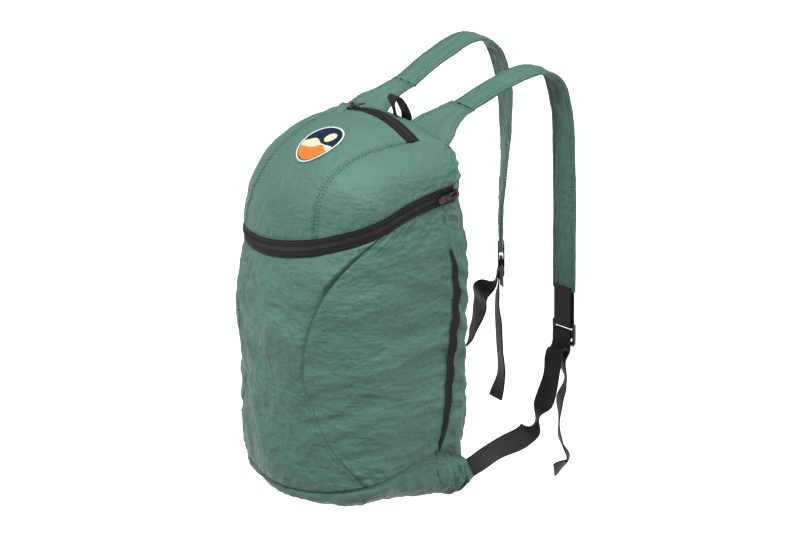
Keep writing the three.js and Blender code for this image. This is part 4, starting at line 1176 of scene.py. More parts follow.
@dataclass(frozen=True)
class ClothSheet:
    """One sheet of the bag's cloth, worked out on a grid and creased."""

    name: str
    borders: tuple[Border, Border, Border, Border]
    folds: Folds
    wall: float = 0.6
    calm: Optional[Array] = None

    def crease(self, grid: Array) -> Array:
        """Moves a plain grid along its normals.

        The move adds broad dents, sharp creases of a bent noise, fine crumple, short
        puckers that stand square to each seam and fade from it, and a dip at each seam.
        Everything but the dip fades to nothing at a seam, so that sheets meet there.

        Args:
            grid: rows by columns of points; borders are first column, last column, first
                row and last row.
        Returns:
            The creased grid.
        """
        f = self.folds
        across, up = run_lengths(grid, 1), run_lengths(grid, 0)
        gaps = (across, across[:, -1:] - across, up, up[-1:] - up)
        alongs = (up, up, across, across)
        places = grid * np.array(f.stretch)
        dents = f.dents * CRUMPLE.layers(places / f.dent_size, 2)
        creases = f.creases * (CRUMPLE.creases(places / f.crease_size, 2) - 0.5)
        small = grid * mix(1.0, np.array(f.stretch), 0.6)
        fine = f.fine * (CRUMPLE.creases(small / f.fine_size + 3.3, 2) - 0.4)
        fine += f.fine * 0.4 * CRUMPLE.noise(small / f.grain_size)
        keep = np.ones(across.shape)
        puckers = np.zeros(across.shape)
        dips = np.zeros(across.shape)
        for border, gap, along in zip(self.borders, gaps, alongs):
            if border is Border.FREE:
                continue
            pull = GATHER_PULL if border is Border.GATHERED else SEWN_PULL
            keep *= smooth((gap - pull.calm) / pull.fade)
            bend = 5 * CRUMPLE.noise(grid / 30 + border.value)
            wave = CRUMPLE.noise(points_of(along / f.pucker_pitch, gap / 26, bend * 0.2 + border.value))
            start = smooth((gap - pull.start) / pull.ease)
            fade = np.exp(-gap / (pull.reach * f.pucker_reach))
            puckers += f.puckers * pull.strength * wave * fade * start
            dips += border.value * f.dip * np.exp(-((gap / f.dip_width) ** 2))
            dips -= border.value * f.ridge * np.exp(-((gap / f.dip_width - 2.6) ** 2))
        folds = (dents + creases) * keep + fine * (0.25 + 0.75 * keep) + puckers
        out = (folds if self.calm is None else folds * self.calm) - dips
        return grid + out[..., None] * grid_normals(grid)

    def build(self, grid: Array, finish: bpy.types.Material, nodes: Sequence[str]) -> Array:
        """Creases the grid and makes the piece; gives back the creased grid."""
        creased = self.crease(grid)
        parts = MeshParts()
        add_shell(parts, creased, self.wall)
        settle(parts.build(self.name), finish, nodes)
        return creased


def plain_grid(rows: int, columns: int, surface: Callable[[Array, Array], Array]) -> Array:
    """A surface of two shares, row and column, read on an even grid."""
    row = np.linspace(0, 1, rows)[:, None] + np.zeros((1, columns))
    column = np.linspace(0, 1, columns)[None, :] + np.zeros((rows, 1))
    return surface(row, column)


@dataclass(frozen=True)
class BodyCloth:
    """The body under the zip: front, sides, gathered gussets, back and bottom.

    seam_row, bottom_row and zip_row are the distances of the stitches from the curved
    seam, the bottom seam and the zip. The folds of each panel are its own.
    """

    rows: int = 190
    front_columns: int = 118
    side_columns: int = 90
    gusset_columns: int = 34
    back_rows: int = 150
    back_columns: int = 88
    bottom_rings: int = 44
    rim_points: tuple[int, int] = (300, 108)
    bottom_drop: float = 0.2
    bottom_reach: float = 0.995
    stitches: Stitches = Stitches()
    seam_row: float = 2.4
    bottom_row: float = 2.3
    zip_row: float = 2.2
    front_folds: Folds = Folds(dents=7.0, creases=1.7, fine=0.35, puckers=0.9, dip=1.3, dip_width=0.9)
    side_folds: Folds = Folds(dents=5.4, creases=1.0, fine=0.2, stretch=(0.5, 0.5, 1.3), puckers=1.1,
                              pucker_reach=22, dip=1.3, dip_width=0.9)
    gusset_folds: Folds = Folds(dents=3.4, creases=1.5, fine=0.4, stretch=(0.9, 0.9, 1.1), puckers=1.0,
                                pucker_reach=14)
    back_folds: Folds = Folds(dents=2.4, creases=1.6, stretch=(0.8, 0.8, 1.2))
    bottom_folds: Folds = Folds(dents=2.0, creases=1.6)

    def panel(self, name: str, node: str, columns: int, start: Callable, end: Callable,
              folds: Folds, borders: tuple[Border, ...], finish: bpy.types.Material) -> Array:
        """Makes a panel between two lines of stations, given by share of height."""

        def surface(row: Array, column: Array) -> Array:
            return FORM.body(mix(start(row), end(row), column), row)

        grid = plain_grid(self.rows, columns, surface)
        return ClothSheet(name, borders, folds).build(grid, finish, [node])

    def build(self, finishes: Finishes) -> None:
        """Makes the body's pieces and their stitching."""
        seam, tape = FORM.curved_seam.read, FORM.tape_line.read
        low = (Border.SEAM, Border.ZIP)
        sewn = (Border.SEAM, Border.SEAM, *low)
        to_tape = (Border.SEAM, Border.GATHERED, *low)
        from_tape = (Border.GATHERED, Border.SEAM, *low)
        gathered = (Border.GATHERED, Border.GATHERED, Border.SEAM, Border.GATHERED)

        def corner(height: Array) -> Array:
            return FORM.edge_station + 0 * height

        def left(line: Callable) -> Callable:
            return lambda height: -line(height)

        table = [
            ("front_cloth", "front_panel", self.front_columns, left(seam), seam,
             self.front_folds, sewn),
            ("side_cloth_right", "side_panel_right", self.side_columns, seam, tape,
             self.side_folds, to_tape),
            ("side_cloth_left", "side_panel_left", self.side_columns, left(tape), left(seam),
             self.side_folds, from_tape),
            ("gusset_cloth_right", "side_gusset_right", self.gusset_columns, tape, corner,
             self.gusset_folds, gathered),
            ("gusset_cloth_left", "side_gusset_left", self.gusset_columns, left(corner), left(tape),
             self.gusset_folds, gathered),
        ]
        grids = [self.panel(*row, finishes.nylon) for row in table]
        thread = MeshParts()
        for grid, from_end in ((grids[1], False), (grids[2], True)):
            self.stitches.sew_beside(thread, grid, 1, self.seam_row, from_end)
        for grid in grids:
            self.stitches.sew_beside(thread, grid, 0, self.bottom_row)
            self.stitches.sew_beside(thread, grid, 0, self.zip_row, True)
        self.back(finishes.nylon)
        self.bottom(finishes.nylon)
        settle(thread.build("body_stitching"), finishes.green_thread)

    def back(self, finish: bpy.types.Material) -> None:
        """Makes the back, up from the bottom seam to the top edge."""
        grid = plain_grid(self.back_rows, self.back_columns, lambda r, c: FORM.back_sheet(1 - 2 * c, r))
        sheet = ClothSheet("back_cloth", (Border.SEAM,) * 4, self.back_folds)
        sheet.build(grid, finish, ["back_panel"])

    def bottom(self, finish: bpy.types.Material) -> None:
        """Makes the bottom, in rings from its seam to its lowest point."""
        edge = FORM.edge_station
        around = np.linspace(-edge, edge, self.rim_points[0])
        rim = FORM.body(around, np.zeros_like(around))
        count = self.rim_points[1]
        back = FORM.back_sheet(np.linspace(1, -1, count + 2)[1:-1], np.zeros(count))
        rim = np.concatenate([rim, back, rim[:1]])
        rim[:, 2] -= self.bottom_drop
        share = np.linspace(0, self.bottom_reach, self.bottom_rings)
        grid = FORM.bottom(rim[None] + np.zeros((len(share), 1, 1)), share[:, None])
        borders = (Border.FREE, Border.FREE, Border.SEAM, Border.FREE)
        sheet = ClothSheet("bottom_cloth", borders, self.bottom_folds)
        creased = sheet.crease(grid[:, ::-1])
        creased[:, -1] = creased[:, 0]
        parts = MeshParts()
        add_shell(parts, creased, sheet.wall)
        cap = creased[-1, :-1]
        count = len(cap)
        middle = cap.mean(0)
        fan = np.stack([np.arange(count), np.roll(np.arange(count), -1), np.full(count, count)], -1)
        parts.add(np.concatenate([cap, middle[None]]), [fan])
        settle(parts.build(sheet.name), finish, ["bottom_panel"])


@dataclass(frozen=True)
class LidCloth:
    """The lid over the main zip: centre piece, two gores and the yoke.

    Under and round the badge the folds shrink to badge_calm of their height and grow
    back over badge_fade. A gathered strip lies on each gore's back edge, from
    edge_right or edge_left of its width at the zip and at the top.
    """

    rows: int = 120
    centre_columns: int = 104
    gore_columns: int = 130
    edge_columns: int = 26
    edge_lift: float = 0.9
    edge_right: tuple[float, float] = (0.83, 0.965)
    edge_left: tuple[float, float] = (0.17, 0.035)
    yoke_grid: tuple[int, int] = (20, 110)
    stitches: Stitches = Stitches()
    seam_rows: tuple[float, float] = (2.2, 5.0)
    badge_calm: float = 0.06
    badge_fade: float = 9
    centre_folds: Folds = Folds(dents=1.6, creases=0.8, fine=0.6, puckers=1.0, pucker_reach=11,
                                pucker_pitch=5.5, stretch=(1.3, 1.0, 0.8))
    gore_folds: Folds = Folds(dents=2.6, creases=0.7, fine=0.25, puckers=0.9, pucker_reach=12,
                              pucker_pitch=6)
    edge_folds: Folds = Folds(dents=1.8, creases=1.6, fine=0.4, puckers=1.7, pucker_pitch=7,
                              pucker_reach=9)
    yoke_folds: Folds = Folds(dents=0.3, creases=0.3, fine=0.2, puckers=0.35, pucker_reach=5, dip=0.7)

    def build(self, finishes: Finishes) -> None:
        """Makes the lid's pieces and their stitching."""
        sewn = (Border.SEAM, Border.SEAM, Border.ZIP, Border.ZIP)
        thread = MeshParts()
        centre = plain_grid(self.rows, self.centre_columns, lambda r, c: FORM.lid(2 * c - 1, r))
        away = np.linalg.norm(centre - BADGE.lay(np.zeros(1), np.zeros(1), np.zeros(1)), axis=-1)
        calm = mix(self.badge_calm, 1.0, smooth((away - BADGE.radius) / self.badge_fade))
        body = ClothSheet("lid_cloth", sewn, self.centre_folds, calm=calm).build(
            centre, finishes.nylon, ["lid_panel"])
        for from_end in (False, True):
            self.sew_double(thread, body, from_end)
        for side in Side:
            gore = self.gore(side, finishes.nylon)
            self.sew_double(thread, gore, side is Side.LEFT)
            self.stitches.sew_beside(thread, gore, 0, self.seam_rows[0])
        self.stitches.sew_beside(thread, body, 0, self.seam_rows[0])
        self.yoke(finishes.nylon)
        settle(thread.build("lid_stitching"), finishes.green_thread)

    def sew_double(self, thread: MeshParts, grid: Array, from_end: bool) -> None:
        """Sews the two rows beside a lid seam."""
        for distance in self.seam_rows:
            self.stitches.sew_beside(thread, grid, 1, distance, from_end)

    def gore(self, side: Side, finish: bpy.types.Material) -> Array:
        """Makes a gore and the gathered strip on its back edge; gives the gore's grid."""
        surface = self.gore_surface(side)
        grid = plain_grid(self.rows, self.gore_columns, surface)
        along = (Border.SEAM, Border.GATHERED) if side is Side.RIGHT else (Border.GATHERED, Border.SEAM)
        name = f"lid_gore_cloth_{side.label}"
        sheet = ClothSheet(name, (*along, Border.ZIP, Border.ZIP), self.gore_folds)
        gore = sheet.build(grid, finish, [f"lid_gore_{side.label}"])

        def strip(row: Array, column: Array) -> Array:
            if side is Side.RIGHT:
                return surface(row, mix(mix(*self.edge_right, row), 1, column))
            return surface(row, mix(0, mix(*self.edge_left, row), column))

        edge = plain_grid(self.rows, self.edge_columns, strip)
        edge = edge + self.edge_lift * grid_normals(edge)
        borders = (Border.SEAM, Border.SEAM, Border.ZIP, Border.ZIP)
        gathers = ClothSheet(f"gore_edge_cloth_{side.label}", borders, self.edge_folds)
        gathers.build(edge, finish, [])
        return gore

    def gore_surface(self, side: Side) -> Callable[[Array, Array], Array]:
        """A gore on a grid whose columns run towards the right of who looks at it."""

        def surface(row: Array, column: Array) -> Array:
            return FORM.gore(side, column if side is Side.RIGHT else 1 - column, row)

        return surface

    def yoke(self, finish: bpy.types.Material) -> None:
        """Makes the strip between the top zip and the back's edge."""

        def surface(row: Array, column: Array) -> Array:
            across = 2 * column - 1
            x = across * (FORM.lid_seam_offset + 0.4)
            front = points_of(x, FORM.top_tape[1] - 0.2, FORM.crest(x))
            back = FORM.back_sheet(np.where(np.abs(across) < 1e-6, 1e-6, across), np.ones_like(across))
            return mix(front, back - np.array([0, 0.8, 0]), row[..., None])

        grid = plain_grid(*self.yoke_grid, surface)
        borders = (Border.SEAM, Border.SEAM, Border.ZIP, Border.SEAM)
        ClothSheet("yoke_cloth", borders, self.yoke_folds).build(grid, finish, ["yoke"])


@dataclass(frozen=True)
class ZipBand:
    """A zip: two tape halves, a coil down the middle and a row of stitches by each edge."""

    name: str
    coil_width: float = 4.2
    coil_pitch: float = 1.45
    coil_height: float = 0.42
    tape_wall: float = 0.9
    sewn_at: float = 2.4
    stitches: Stitches = Stitches(pitch=2.8, length=2.0, width=0.5, height=0.25)
    groove: Stitches = Stitches(pitch=2.2, length=1.9, width=0.7, height=0.2)

    def tape(self, grid: Array, finishes: Finishes, node: str) -> None:
        """Makes the tape from a grid whose rows run along the zip and columns across.

        The tape rises a little towards the coil and bows by a slow noise.
        """
        across = np.linspace(-1, 1, grid.shape[1])
        rise = 0.35 * np.exp(-((across / 0.45) ** 2)) - 0.5 * np.abs(across) ** 8
        wobble = 0.25 * CRUMPLE.noise(grid / 22)
        shaped = grid + (rise[None] + wobble)[..., None] * grid_normals(grid)
        parts = MeshParts()
        add_shell(parts, shaped, self.tape_wall)
        settle(parts.build(f"{self.name}_band"), finishes.tape, [node])
        thread = MeshParts()
        for from_end in (False, True):
            self.stitches.sew_beside(thread, shaped, 1, self.sewn_at, from_end)
        settle(thread.build(f"{self.name}_stitching"), finishes.black_thread)

    def coil(self, line: Array, out: Array, finishes: Finishes, node: str) -> None:
        """Makes the coil: at each pitch two slanted beads, one from each side of the line.

        A bead is seven rings of five corners, on an arch across the zip.

        Args:
            line: the coil's middle.
            out: a direction away from the bag at each point.
            finishes: the materials.
            node: the CAD node that it stands for.
        """
        points, along = even_steps(line, self.coil_pitch)
        runs = run_lengths(line, 0)
        at = np.linspace(0, runs[-1], len(points))
        outs = unit(spread(at, runs, out))
        across = unit(np.cross(along, outs))
        s = np.linspace(-1, 1, 7)
        turn = np.arange(5) * 2 * np.pi / 5
        radius = self.coil_pitch * 0.46
        parts = MeshParts()
        reach = self.coil_width / 2
        slant = 0.35 * self.coil_pitch
        centre = (
            across[:, None] * (s * reach)[None, :, None]
            + outs[:, None] * (self.coil_height * (1 - s**4) * 0.75)[None, :, None]
            + along[:, None] * (s * slant)[None, :, None]
        )
        ring = (
            along[:, None, None] * (radius * np.cos(turn))[None, None, :, None]
            + outs[:, None, None] * (radius * np.sin(turn))[None, None, :, None]
        )
        copies = points[:, None, None] + centre[:, :, None] + ring
        faces = grid_faces(7, 5, wrap=True)
        first = np.arange(5)
        caps = np.stack([first, first[::-1] + 30])
        parts.add(copies, [repeated(f, len(points), 35) for f in (faces, caps)])
        self.groove.sew(parts, points + outs * self.coil_height * 0.95, outs)
        settle(parts.build(f"{self.name}_teeth"), finishes.coil, [node])


@dataclass(frozen=True)
class Zips:
    """The zip round the mouth and the short one across the lid."""

    main_slider: float = 2.02
    main_end: float = 2.11
    top_slider: float = -46.08
    across: tuple[float, float] = (0.05, 0.95)
    main_grid: tuple[int, int] = (420, 15)
    top_grid: tuple[int, int] = (120, 15)
    end_grid: tuple[int, int] = (44, 40)
    coil_points: int = 500
    coil_lift: float = 0.35
    top_lift: float = 0.3
    top_coil_lift: float = 0.4
    top_coil_end: float = 62
    slider_half: float = 7
    end_folds: Folds = Folds(dents=1.2, creases=1.2, puckers=1.2, pucker_pitch=6)

    def build(self, finishes: Finishes) -> None:
        """Makes both zips and finishes the CAD's sliders and pulls."""
        self.main(finishes)
        self.top(finishes)
        for name in ("main_zip_slider", "main_zip_tab", "top_zip_slider", "top_zip_tab"):
            node = bpy.data.objects[name]
            node.data.materials.clear()
            node.data.materials.append(finishes.metal)

    def main(self, finishes: Finishes) -> None:
        """Makes the zip round the mouth."""
        band = ZipBand("main_zip")
        end = self.main_end
        grid = plain_grid(
            *self.main_grid, lambda r, c: FORM.zip_band(mix(-end, end, r), mix(*self.across, c)))
        band.tape(grid[:, ::-1], finishes, "main_zip_tape")
        for side in Side:
            self.end_cloth(side, finishes)
        stations = np.linspace(-end + 0.04, self.main_slider - 0.07, self.coil_points)
        middle = np.full(self.coil_points, 0.5)
        line = FORM.zip_band(stations, middle)
        step = FORM.zip_band(stations + 0.01, middle) - line
        out = unit(np.cross(step, np.array([0.0, 0.0, 1.0])))
        band.coil(line + out * self.coil_lift, out, finishes, "main_zip_coil")

    def end_cloth(self, side: Side, finishes: Finishes) -> None:
        """Makes the gathered cloth past the main zip's end, up to the back's edge."""
        first, last = self.main_end - 0.05, FORM.edge_station

        def surface(row: Array, column: Array) -> Array:
            share = column if side is Side.RIGHT else 1 - column
            return FORM.zip_band(side.value * mix(first, last, share), mix(-0.06, 1.06, row))

        grid = plain_grid(*self.end_grid, surface)
        grid = grid + 1.1 * grid_normals(grid)
        borders = (Border.SEAM, Border.SEAM, Border.GATHERED, Border.GATHERED)
        sheet = ClothSheet(f"zip_end_cloth_{side.label}", borders, self.end_folds)
        sheet.build(grid, finishes.nylon, [])

    def top(self, finishes: Finishes) -> None:
        """Makes the short zip across the lid."""
        band = ZipBand("top_zip")
        reach = FORM.lid_seam_offset - 0.2

        def surface(row: Array, column: Array) -> Array:
            x = mix(-reach, reach, row)
            y = mix(*FORM.top_tape, mix(-0.02, 1.02, column))
            return points_of(x, y, FORM.crest(x) + self.top_lift)

        grid = plain_grid(*self.top_grid, surface)
        band.tape(grid[:, ::-1], finishes, "top_zip_tape")
        x = np.linspace(self.top_slider + self.slider_half, self.top_coil_end, 200)
        y = FORM.top_zip_front + FORM.zip_width / 2
        line = points_of(x, y, FORM.crest(x) + self.top_coil_lift)
        out = unit(np.cross(np.gradient(line, axis=0), np.array([0.0, 1.0, 0.0])))
        out *= np.sign(out[:, 2:])
        band.coil(line, out, finishes, "top_zip_coil")


@dataclass(frozen=True)
class Badge:
    """The round patch on the lid: a sun behind two hills, in generic shapes."""

    radius: float = 27.5
    setback: float = 86.5
    across: float = 5.0
    height: float = 1.3
    edge_points: int = 120
    ring_width: float = 0.9
    ring_height: float = 0.42
    motif_inset: float = 3.0
    sun_radius: float = 7.2
    sun_place: tuple[float, float] = (7.5, 10.5)
    newton_steps: int = 12

    def centre(self) -> tuple[float, float]:
        """The patch's middle on the lid: how far across, and the share of the way up."""
        across = self.across / FORM.lid_seam_offset
        shares = np.linspace(0, 1, 400)
        depths = FORM.lid(across + 0 * shares, shares)[:, 1]
        return across, float(np.interp(FORM.top_zip_back - self.setback, depths, shares))

    def lay(self, x: Array, y: Array, lift: Array | float) -> Array:
        """Lays flat places of the patch on the lid.

        A place in the plane that touches the lid at the patch's middle is carried to the
        lid along the plane's normal, by Newton's rule.

        Args:
            x: places to the right, in millimetres.
            y: places away from the front.
            lift: height over the lid.
        Returns:
            Points in the bag's frame.
        """
        middle, up = self.centre()
        start = FORM.lid(np.array(middle), np.array(up))
        out = unit(self.normal(np.array(middle), np.array(up)))
        side = unit(np.cross(np.array([0.0, 1.0, 0.0]), out))
        away = np.cross(out, side)
        step = 1e-4
        across, share = middle + x / FORM.lid_seam_offset, up + 0 * y
        for _ in range(self.newton_steps):
            miss = FORM.lid(across, share) - start
            fx, fy = miss @ side - x, miss @ away - y
            da = (FORM.lid(across + step, share) - FORM.lid(across - step, share)) / (2 * step)
            ds = (FORM.lid(across, share + step) - FORM.lid(across, share - step)) / (2 * step)
            a, b, c, d = da @ side, ds @ side, da @ away, ds @ away
            scale = a * d - b * c
            across = across - (d * fx - b * fy) / scale
            share = np.clip(share - (a * fy - c * fx) / scale, 0.01, 0.99)
        return FORM.lid(across, share) + np.asarray(lift)[..., None] * unit(self.normal(across, share))

    def normal(self, across: Array, share: Array) -> Array:
        """The lid's outward direction."""
        step = 0.004
        a = FORM.lid(across + step, share) - FORM.lid(across - step, share)
        b = FORM.lid(across, share + step) - FORM.lid(across, share - step)
        return np.cross(a, b)

    def disc(self, parts: MeshParts, edge: Array, lift: float, wall: float) -> None:
        """Adds a patch whose border is a closed flat line round its middle.

        Rings shrink from the border to the middle; the border's rim goes down by wall.
        """
        shares = np.concatenate([[1.0, 1.0], np.linspace(0.985, 0.04, 18)])
        drops = np.concatenate([[-wall, -0.18], np.zeros(18)])
        middle = edge.mean(0)
        flat = middle + (edge[None] - middle) * shares[:, None, None]
        points = self.lay(flat[..., 0], flat[..., 1], (lift + drops)[:, None] + 0 * flat[..., 0])
        count = len(edge)
        faces = grid_faces(len(shares), count, wrap=True)
        last = np.arange(count) + (len(shares) - 1) * count
        fan = np.stack([last, np.roll(last, -1), np.full(count, len(shares) * count)], -1)
        whole = np.concatenate([points.reshape(-1, 3), points[-1].mean(0)[None]])
        parts.add(whole, [faces, fan], np.concatenate([flat.reshape(-1, 2), middle[None]]))

    def build(self, finishes: Finishes) -> None:
        """Makes the field, the border ring and the motif."""
        circle = round_line(self.edge_points)
        patch = MeshParts()
        self.disc(patch, circle * (self.radius - 0.4), self.height, self.height)
        settle(patch.build("badge_field"), finishes.patch["field"], ["badge"])
        border = MeshParts()
        profile = np.linspace(0, np.pi, 7)
        radius = self.radius - self.ring_width - self.ring_width * np.cos(profile)
        lift = self.height + 0.05 + self.ring_height * np.sin(profile)
        ring = circle[None] * radius[:, None, None]
        points = self.lay(ring[..., 0], ring[..., 1], lift[:, None] + 0 * ring[..., 0])
        foot = ring[[-1, 0]]
        under = self.lay(foot[..., 0], foot[..., 1], 0 * foot[..., 0] + self.height - 0.3)
        closed = np.concatenate([points, under, points[:1]])
        border.add(closed, [grid_faces(len(closed), self.edge_points, wrap=True)[:, ::-1]],
                   np.concatenate([ring, ring[[-1, 0, 0]]]).reshape(-1, 2))
        settle(border.build("badge_border"), finishes.patch["border"])
        self.motif(finishes)

    def motif(self, finishes: Finishes) -> None:
        """Makes the sun and the two hills, each a flat patch a little over the field."""
        sun = np.array(self.sun_place) + self.sun_radius * round_line(72)
        inner = self.radius - self.motif_inset
        shapes = {
            "sun": ("cream", sun, 0.15),
            "far_hill": ("cream", self.hill(inner, -1.0, 6.0, -0.9), 0.25),
            "near_hill": ("orange", self.hill(inner, -8.5, 6.5, 0.9), 0.40),
        }
        for name, (colour, edge, lift) in shapes.items():
            parts = MeshParts()
            self.disc(parts, edge, self.height + lift, lift + 0.1)
            settle(parts.build(f"badge_{name}"), finishes.patch[colour])

    @staticmethod
    def hill(inner: float, level: float, swell: float, lean: float) -> Array:
        """A hill's border: a crest of one bell, leaning to a side, and the circle below it."""
        reach = math.sqrt(inner**2 - level**2)
        x = np.linspace(reach, -reach, 60)
        share = x / reach
        bell = np.exp(-(((share - 0.45 * lean) / 0.42) ** 2)) * (1 - share**4)
        top = np.stack([x, level + swell * bell], -1)
        start = math.atan2(level, -reach) % (2 * math.pi)
        end = math.atan2(level, reach) % (2 * math.pi)
        turn = np.linspace(start, end, 42)[1:-1]
        below = np.stack([inner * np.cos(turn), inner * np.sin(turn)], -1)
        return np.concatenate([top, below])


BADGE = Badge()


@dataclass(frozen=True)
class SideTapes:
    """Narrow black tapes up the sides, pointed at both ends."""

    width: float = 9
    top: float = 0.82
    wall: float = 0.9
    lift: float = 1.7
    buckle: float = 0.4
    wander: float = 0.012
    grid: tuple[int, int] = (200, 9)

    def build(self, finishes: Finishes) -> None:
        """Makes both tapes."""
        for side in Side:

            def surface(row: Array, column: Array) -> Array:
                h = row * self.top
                half = self.width / 2 / (FORM.back_depth - FORM.corner_radius)
                half = half * np.clip(np.sin(np.pi * row).clip(0) ** 0.45, 0.08, 1)
                middle = FORM.tape_line.read(h) + self.wander * np.sin(9.0 * row + 0.6)
                station = side.value * middle + mix(-half, half, column)
                return FORM.body(station, h)

            grid = plain_grid(*self.grid, surface)
            lift = self.lift + self.buckle * CRUMPLE.noise(grid / 14)
            grid = grid + lift[..., None] * grid_normals(grid)
            parts = MeshParts()
            add_shell(parts, grid, self.wall)
            settle(parts.build(f"side_tape_band_{side.label}"), finishes.tape,
                   [f"side_tape_{side.label}"])


@dataclass(frozen=True)
class Webbing:
    """Black webbing: a flat profile with round edges, carried along a way."""

    width: float = 25
    thickness: float = 1.45
    face_points: int = 19
    edge_points: int = 3

    def lay(self, parts: MeshParts, way: RibbonWay, width: Optional[float] = None) -> Array:
        """Adds a length of webbing that waves a little across its width.

        Args:
            parts: what it is added to.
            way: its middle line.
            width: its width where it isn't the plain one.
        Returns:
            Its points, steps by corners.
        """
        spots, height = flat_profile(self.face_points, self.edge_points)
        half = (width or self.width) / 2 - self.thickness / 2
        places = half * spots.real - self.thickness / 2 * spots.imag
        wave = 0.22 * CRUMPLE.noise(points_of(way.runs[:, None] / 16, places[None] / 22, 3.3))
        across = np.tile(places, (len(way.share), 1))
        return add_ribbon(parts, way, across, height * self.thickness / 2, wave)


@dataclass(frozen=True)
class HaulLoop:
    """The webbing handle at the top of the back.

    The rows give its places from the seat, as shares of its depth and height.
    """

    offset: float = 6
    depth: float = 11
    height: float = 24.2
    width: float = 19
    turns: tuple[float, ...] = (-24, -24, -22, -16, -8, 0, 0, 0, 0, 0)
    rows: tuple[tuple[float, float], ...] = (
        (-1.00, 0.02), (-1.05, 0.20), (-1.22, 0.48), (-1.45, 0.76), (-1.38, 0.98),
        (-1.00, 1.03), (-0.55, 0.82), (-0.05, 0.44), (0.25, 0.10), (0.28, -0.14),
    )

    def build(self, finishes: Finishes) -> None:
        """Makes the loop."""
        seat = float(FORM.back_sheet(np.array(1e-6), np.array(1.0))[1]) + 1.1
        rows = np.array(self.rows)
        y, z = seat + self.depth * rows[:, 0], FORM.back_edge_height + self.height * rows[:, 1]
        points = points_of(self.offset, y, z)
        way = ribbon_way(points, [None] * len(rows), self.turns, 1.2)
        parts = MeshParts()
        Webbing().lay(parts, way, self.width)
        settle(parts.build("haul_loop_webbing"), finishes.webbing, ["haul_loop"])


@dataclass(frozen=True)
class Hang:
    """How one side's strap hangs, with lengths in millimetres and turns in degrees.

    Attributes:
        rise: height of the arch over the shoulder.
        drop: how far the strap falls from there.
        tail: length of the loose end.
        anchor: length of webbing between the strap and the adjuster.
        reach: shares of the plan's reach at the strap's rows.
        turns: turns of the strap's width at those rows.
        lower: rows of the webbing from the corner tab to the adjuster. Each has its
            shares of the way in X, Y and Z, and a turn.
        end: rows of the loose end, as shares of its length: how far down and how far
            back, and a turn.
        edge_on: the row of lower at which the webbing turns its edge to the camera.
    """

    rise: float
    drop: float
    tail: float
    anchor: float
    reach: tuple[float, ...]
    turns: tuple[float, ...]
    lower: tuple[tuple[float, float, float, float], ...]
    end: tuple[tuple[float, float, float], ...]
    edge_on: int = -1


TO_CAMERA = np.array([0.77, -0.54, 0.34])

HANGS = {
    Side.RIGHT: Hang(
        25, 230, 142, 36,
        (0.000, 0.340, 0.660, 0.850, 0.955, 0.985, 1.000, 1.005, 1.010),
        (0, 0, 0, 0, -2, -5, -8, -9, -9),
        ((0.22, 0.30, 0.08, 84), (0.40, 0.55, 0.09, 66), (0.50, 0.68, 0.22, 0), (0.60, 0.77, 0.44, 18),
         (0.72, 0.86, 0.76, 2), (0.86, 0.92, 1.00, -7)),
        ((0.10, -0.020, 8), (0.28, 0.035, 34), (0.42, -0.015, 22), (0.60, -0.020, 36),
         (0.78, 0.005, 24), (0.94, 0.065, 50), (1.00, -0.060, 66)),
        2,
    ),
    Side.LEFT: Hang(
        37, 212, 132, 13,
        (0.000, 0.330, 0.640, 0.840, 0.960, 0.985, 0.975, 0.950, 0.955),
        (0, 0, 0, 3, 8, 16, 27, 34, 36),
        ((0.23, 0.55, 0.08, -60), (0.44, 0.88, 0.33, -42), (0.56, 0.93, 0.52, -22),
         (0.72, 0.95, 0.78, -2), (0.86, 0.92, 0.94, 22)),
        ((0.12, -0.015, 28), (0.32, 0.000, 20), (0.55, 0.015, 20), (0.80, 0.035, 18),
         (1.00, -0.025, 2)),
    ),
}


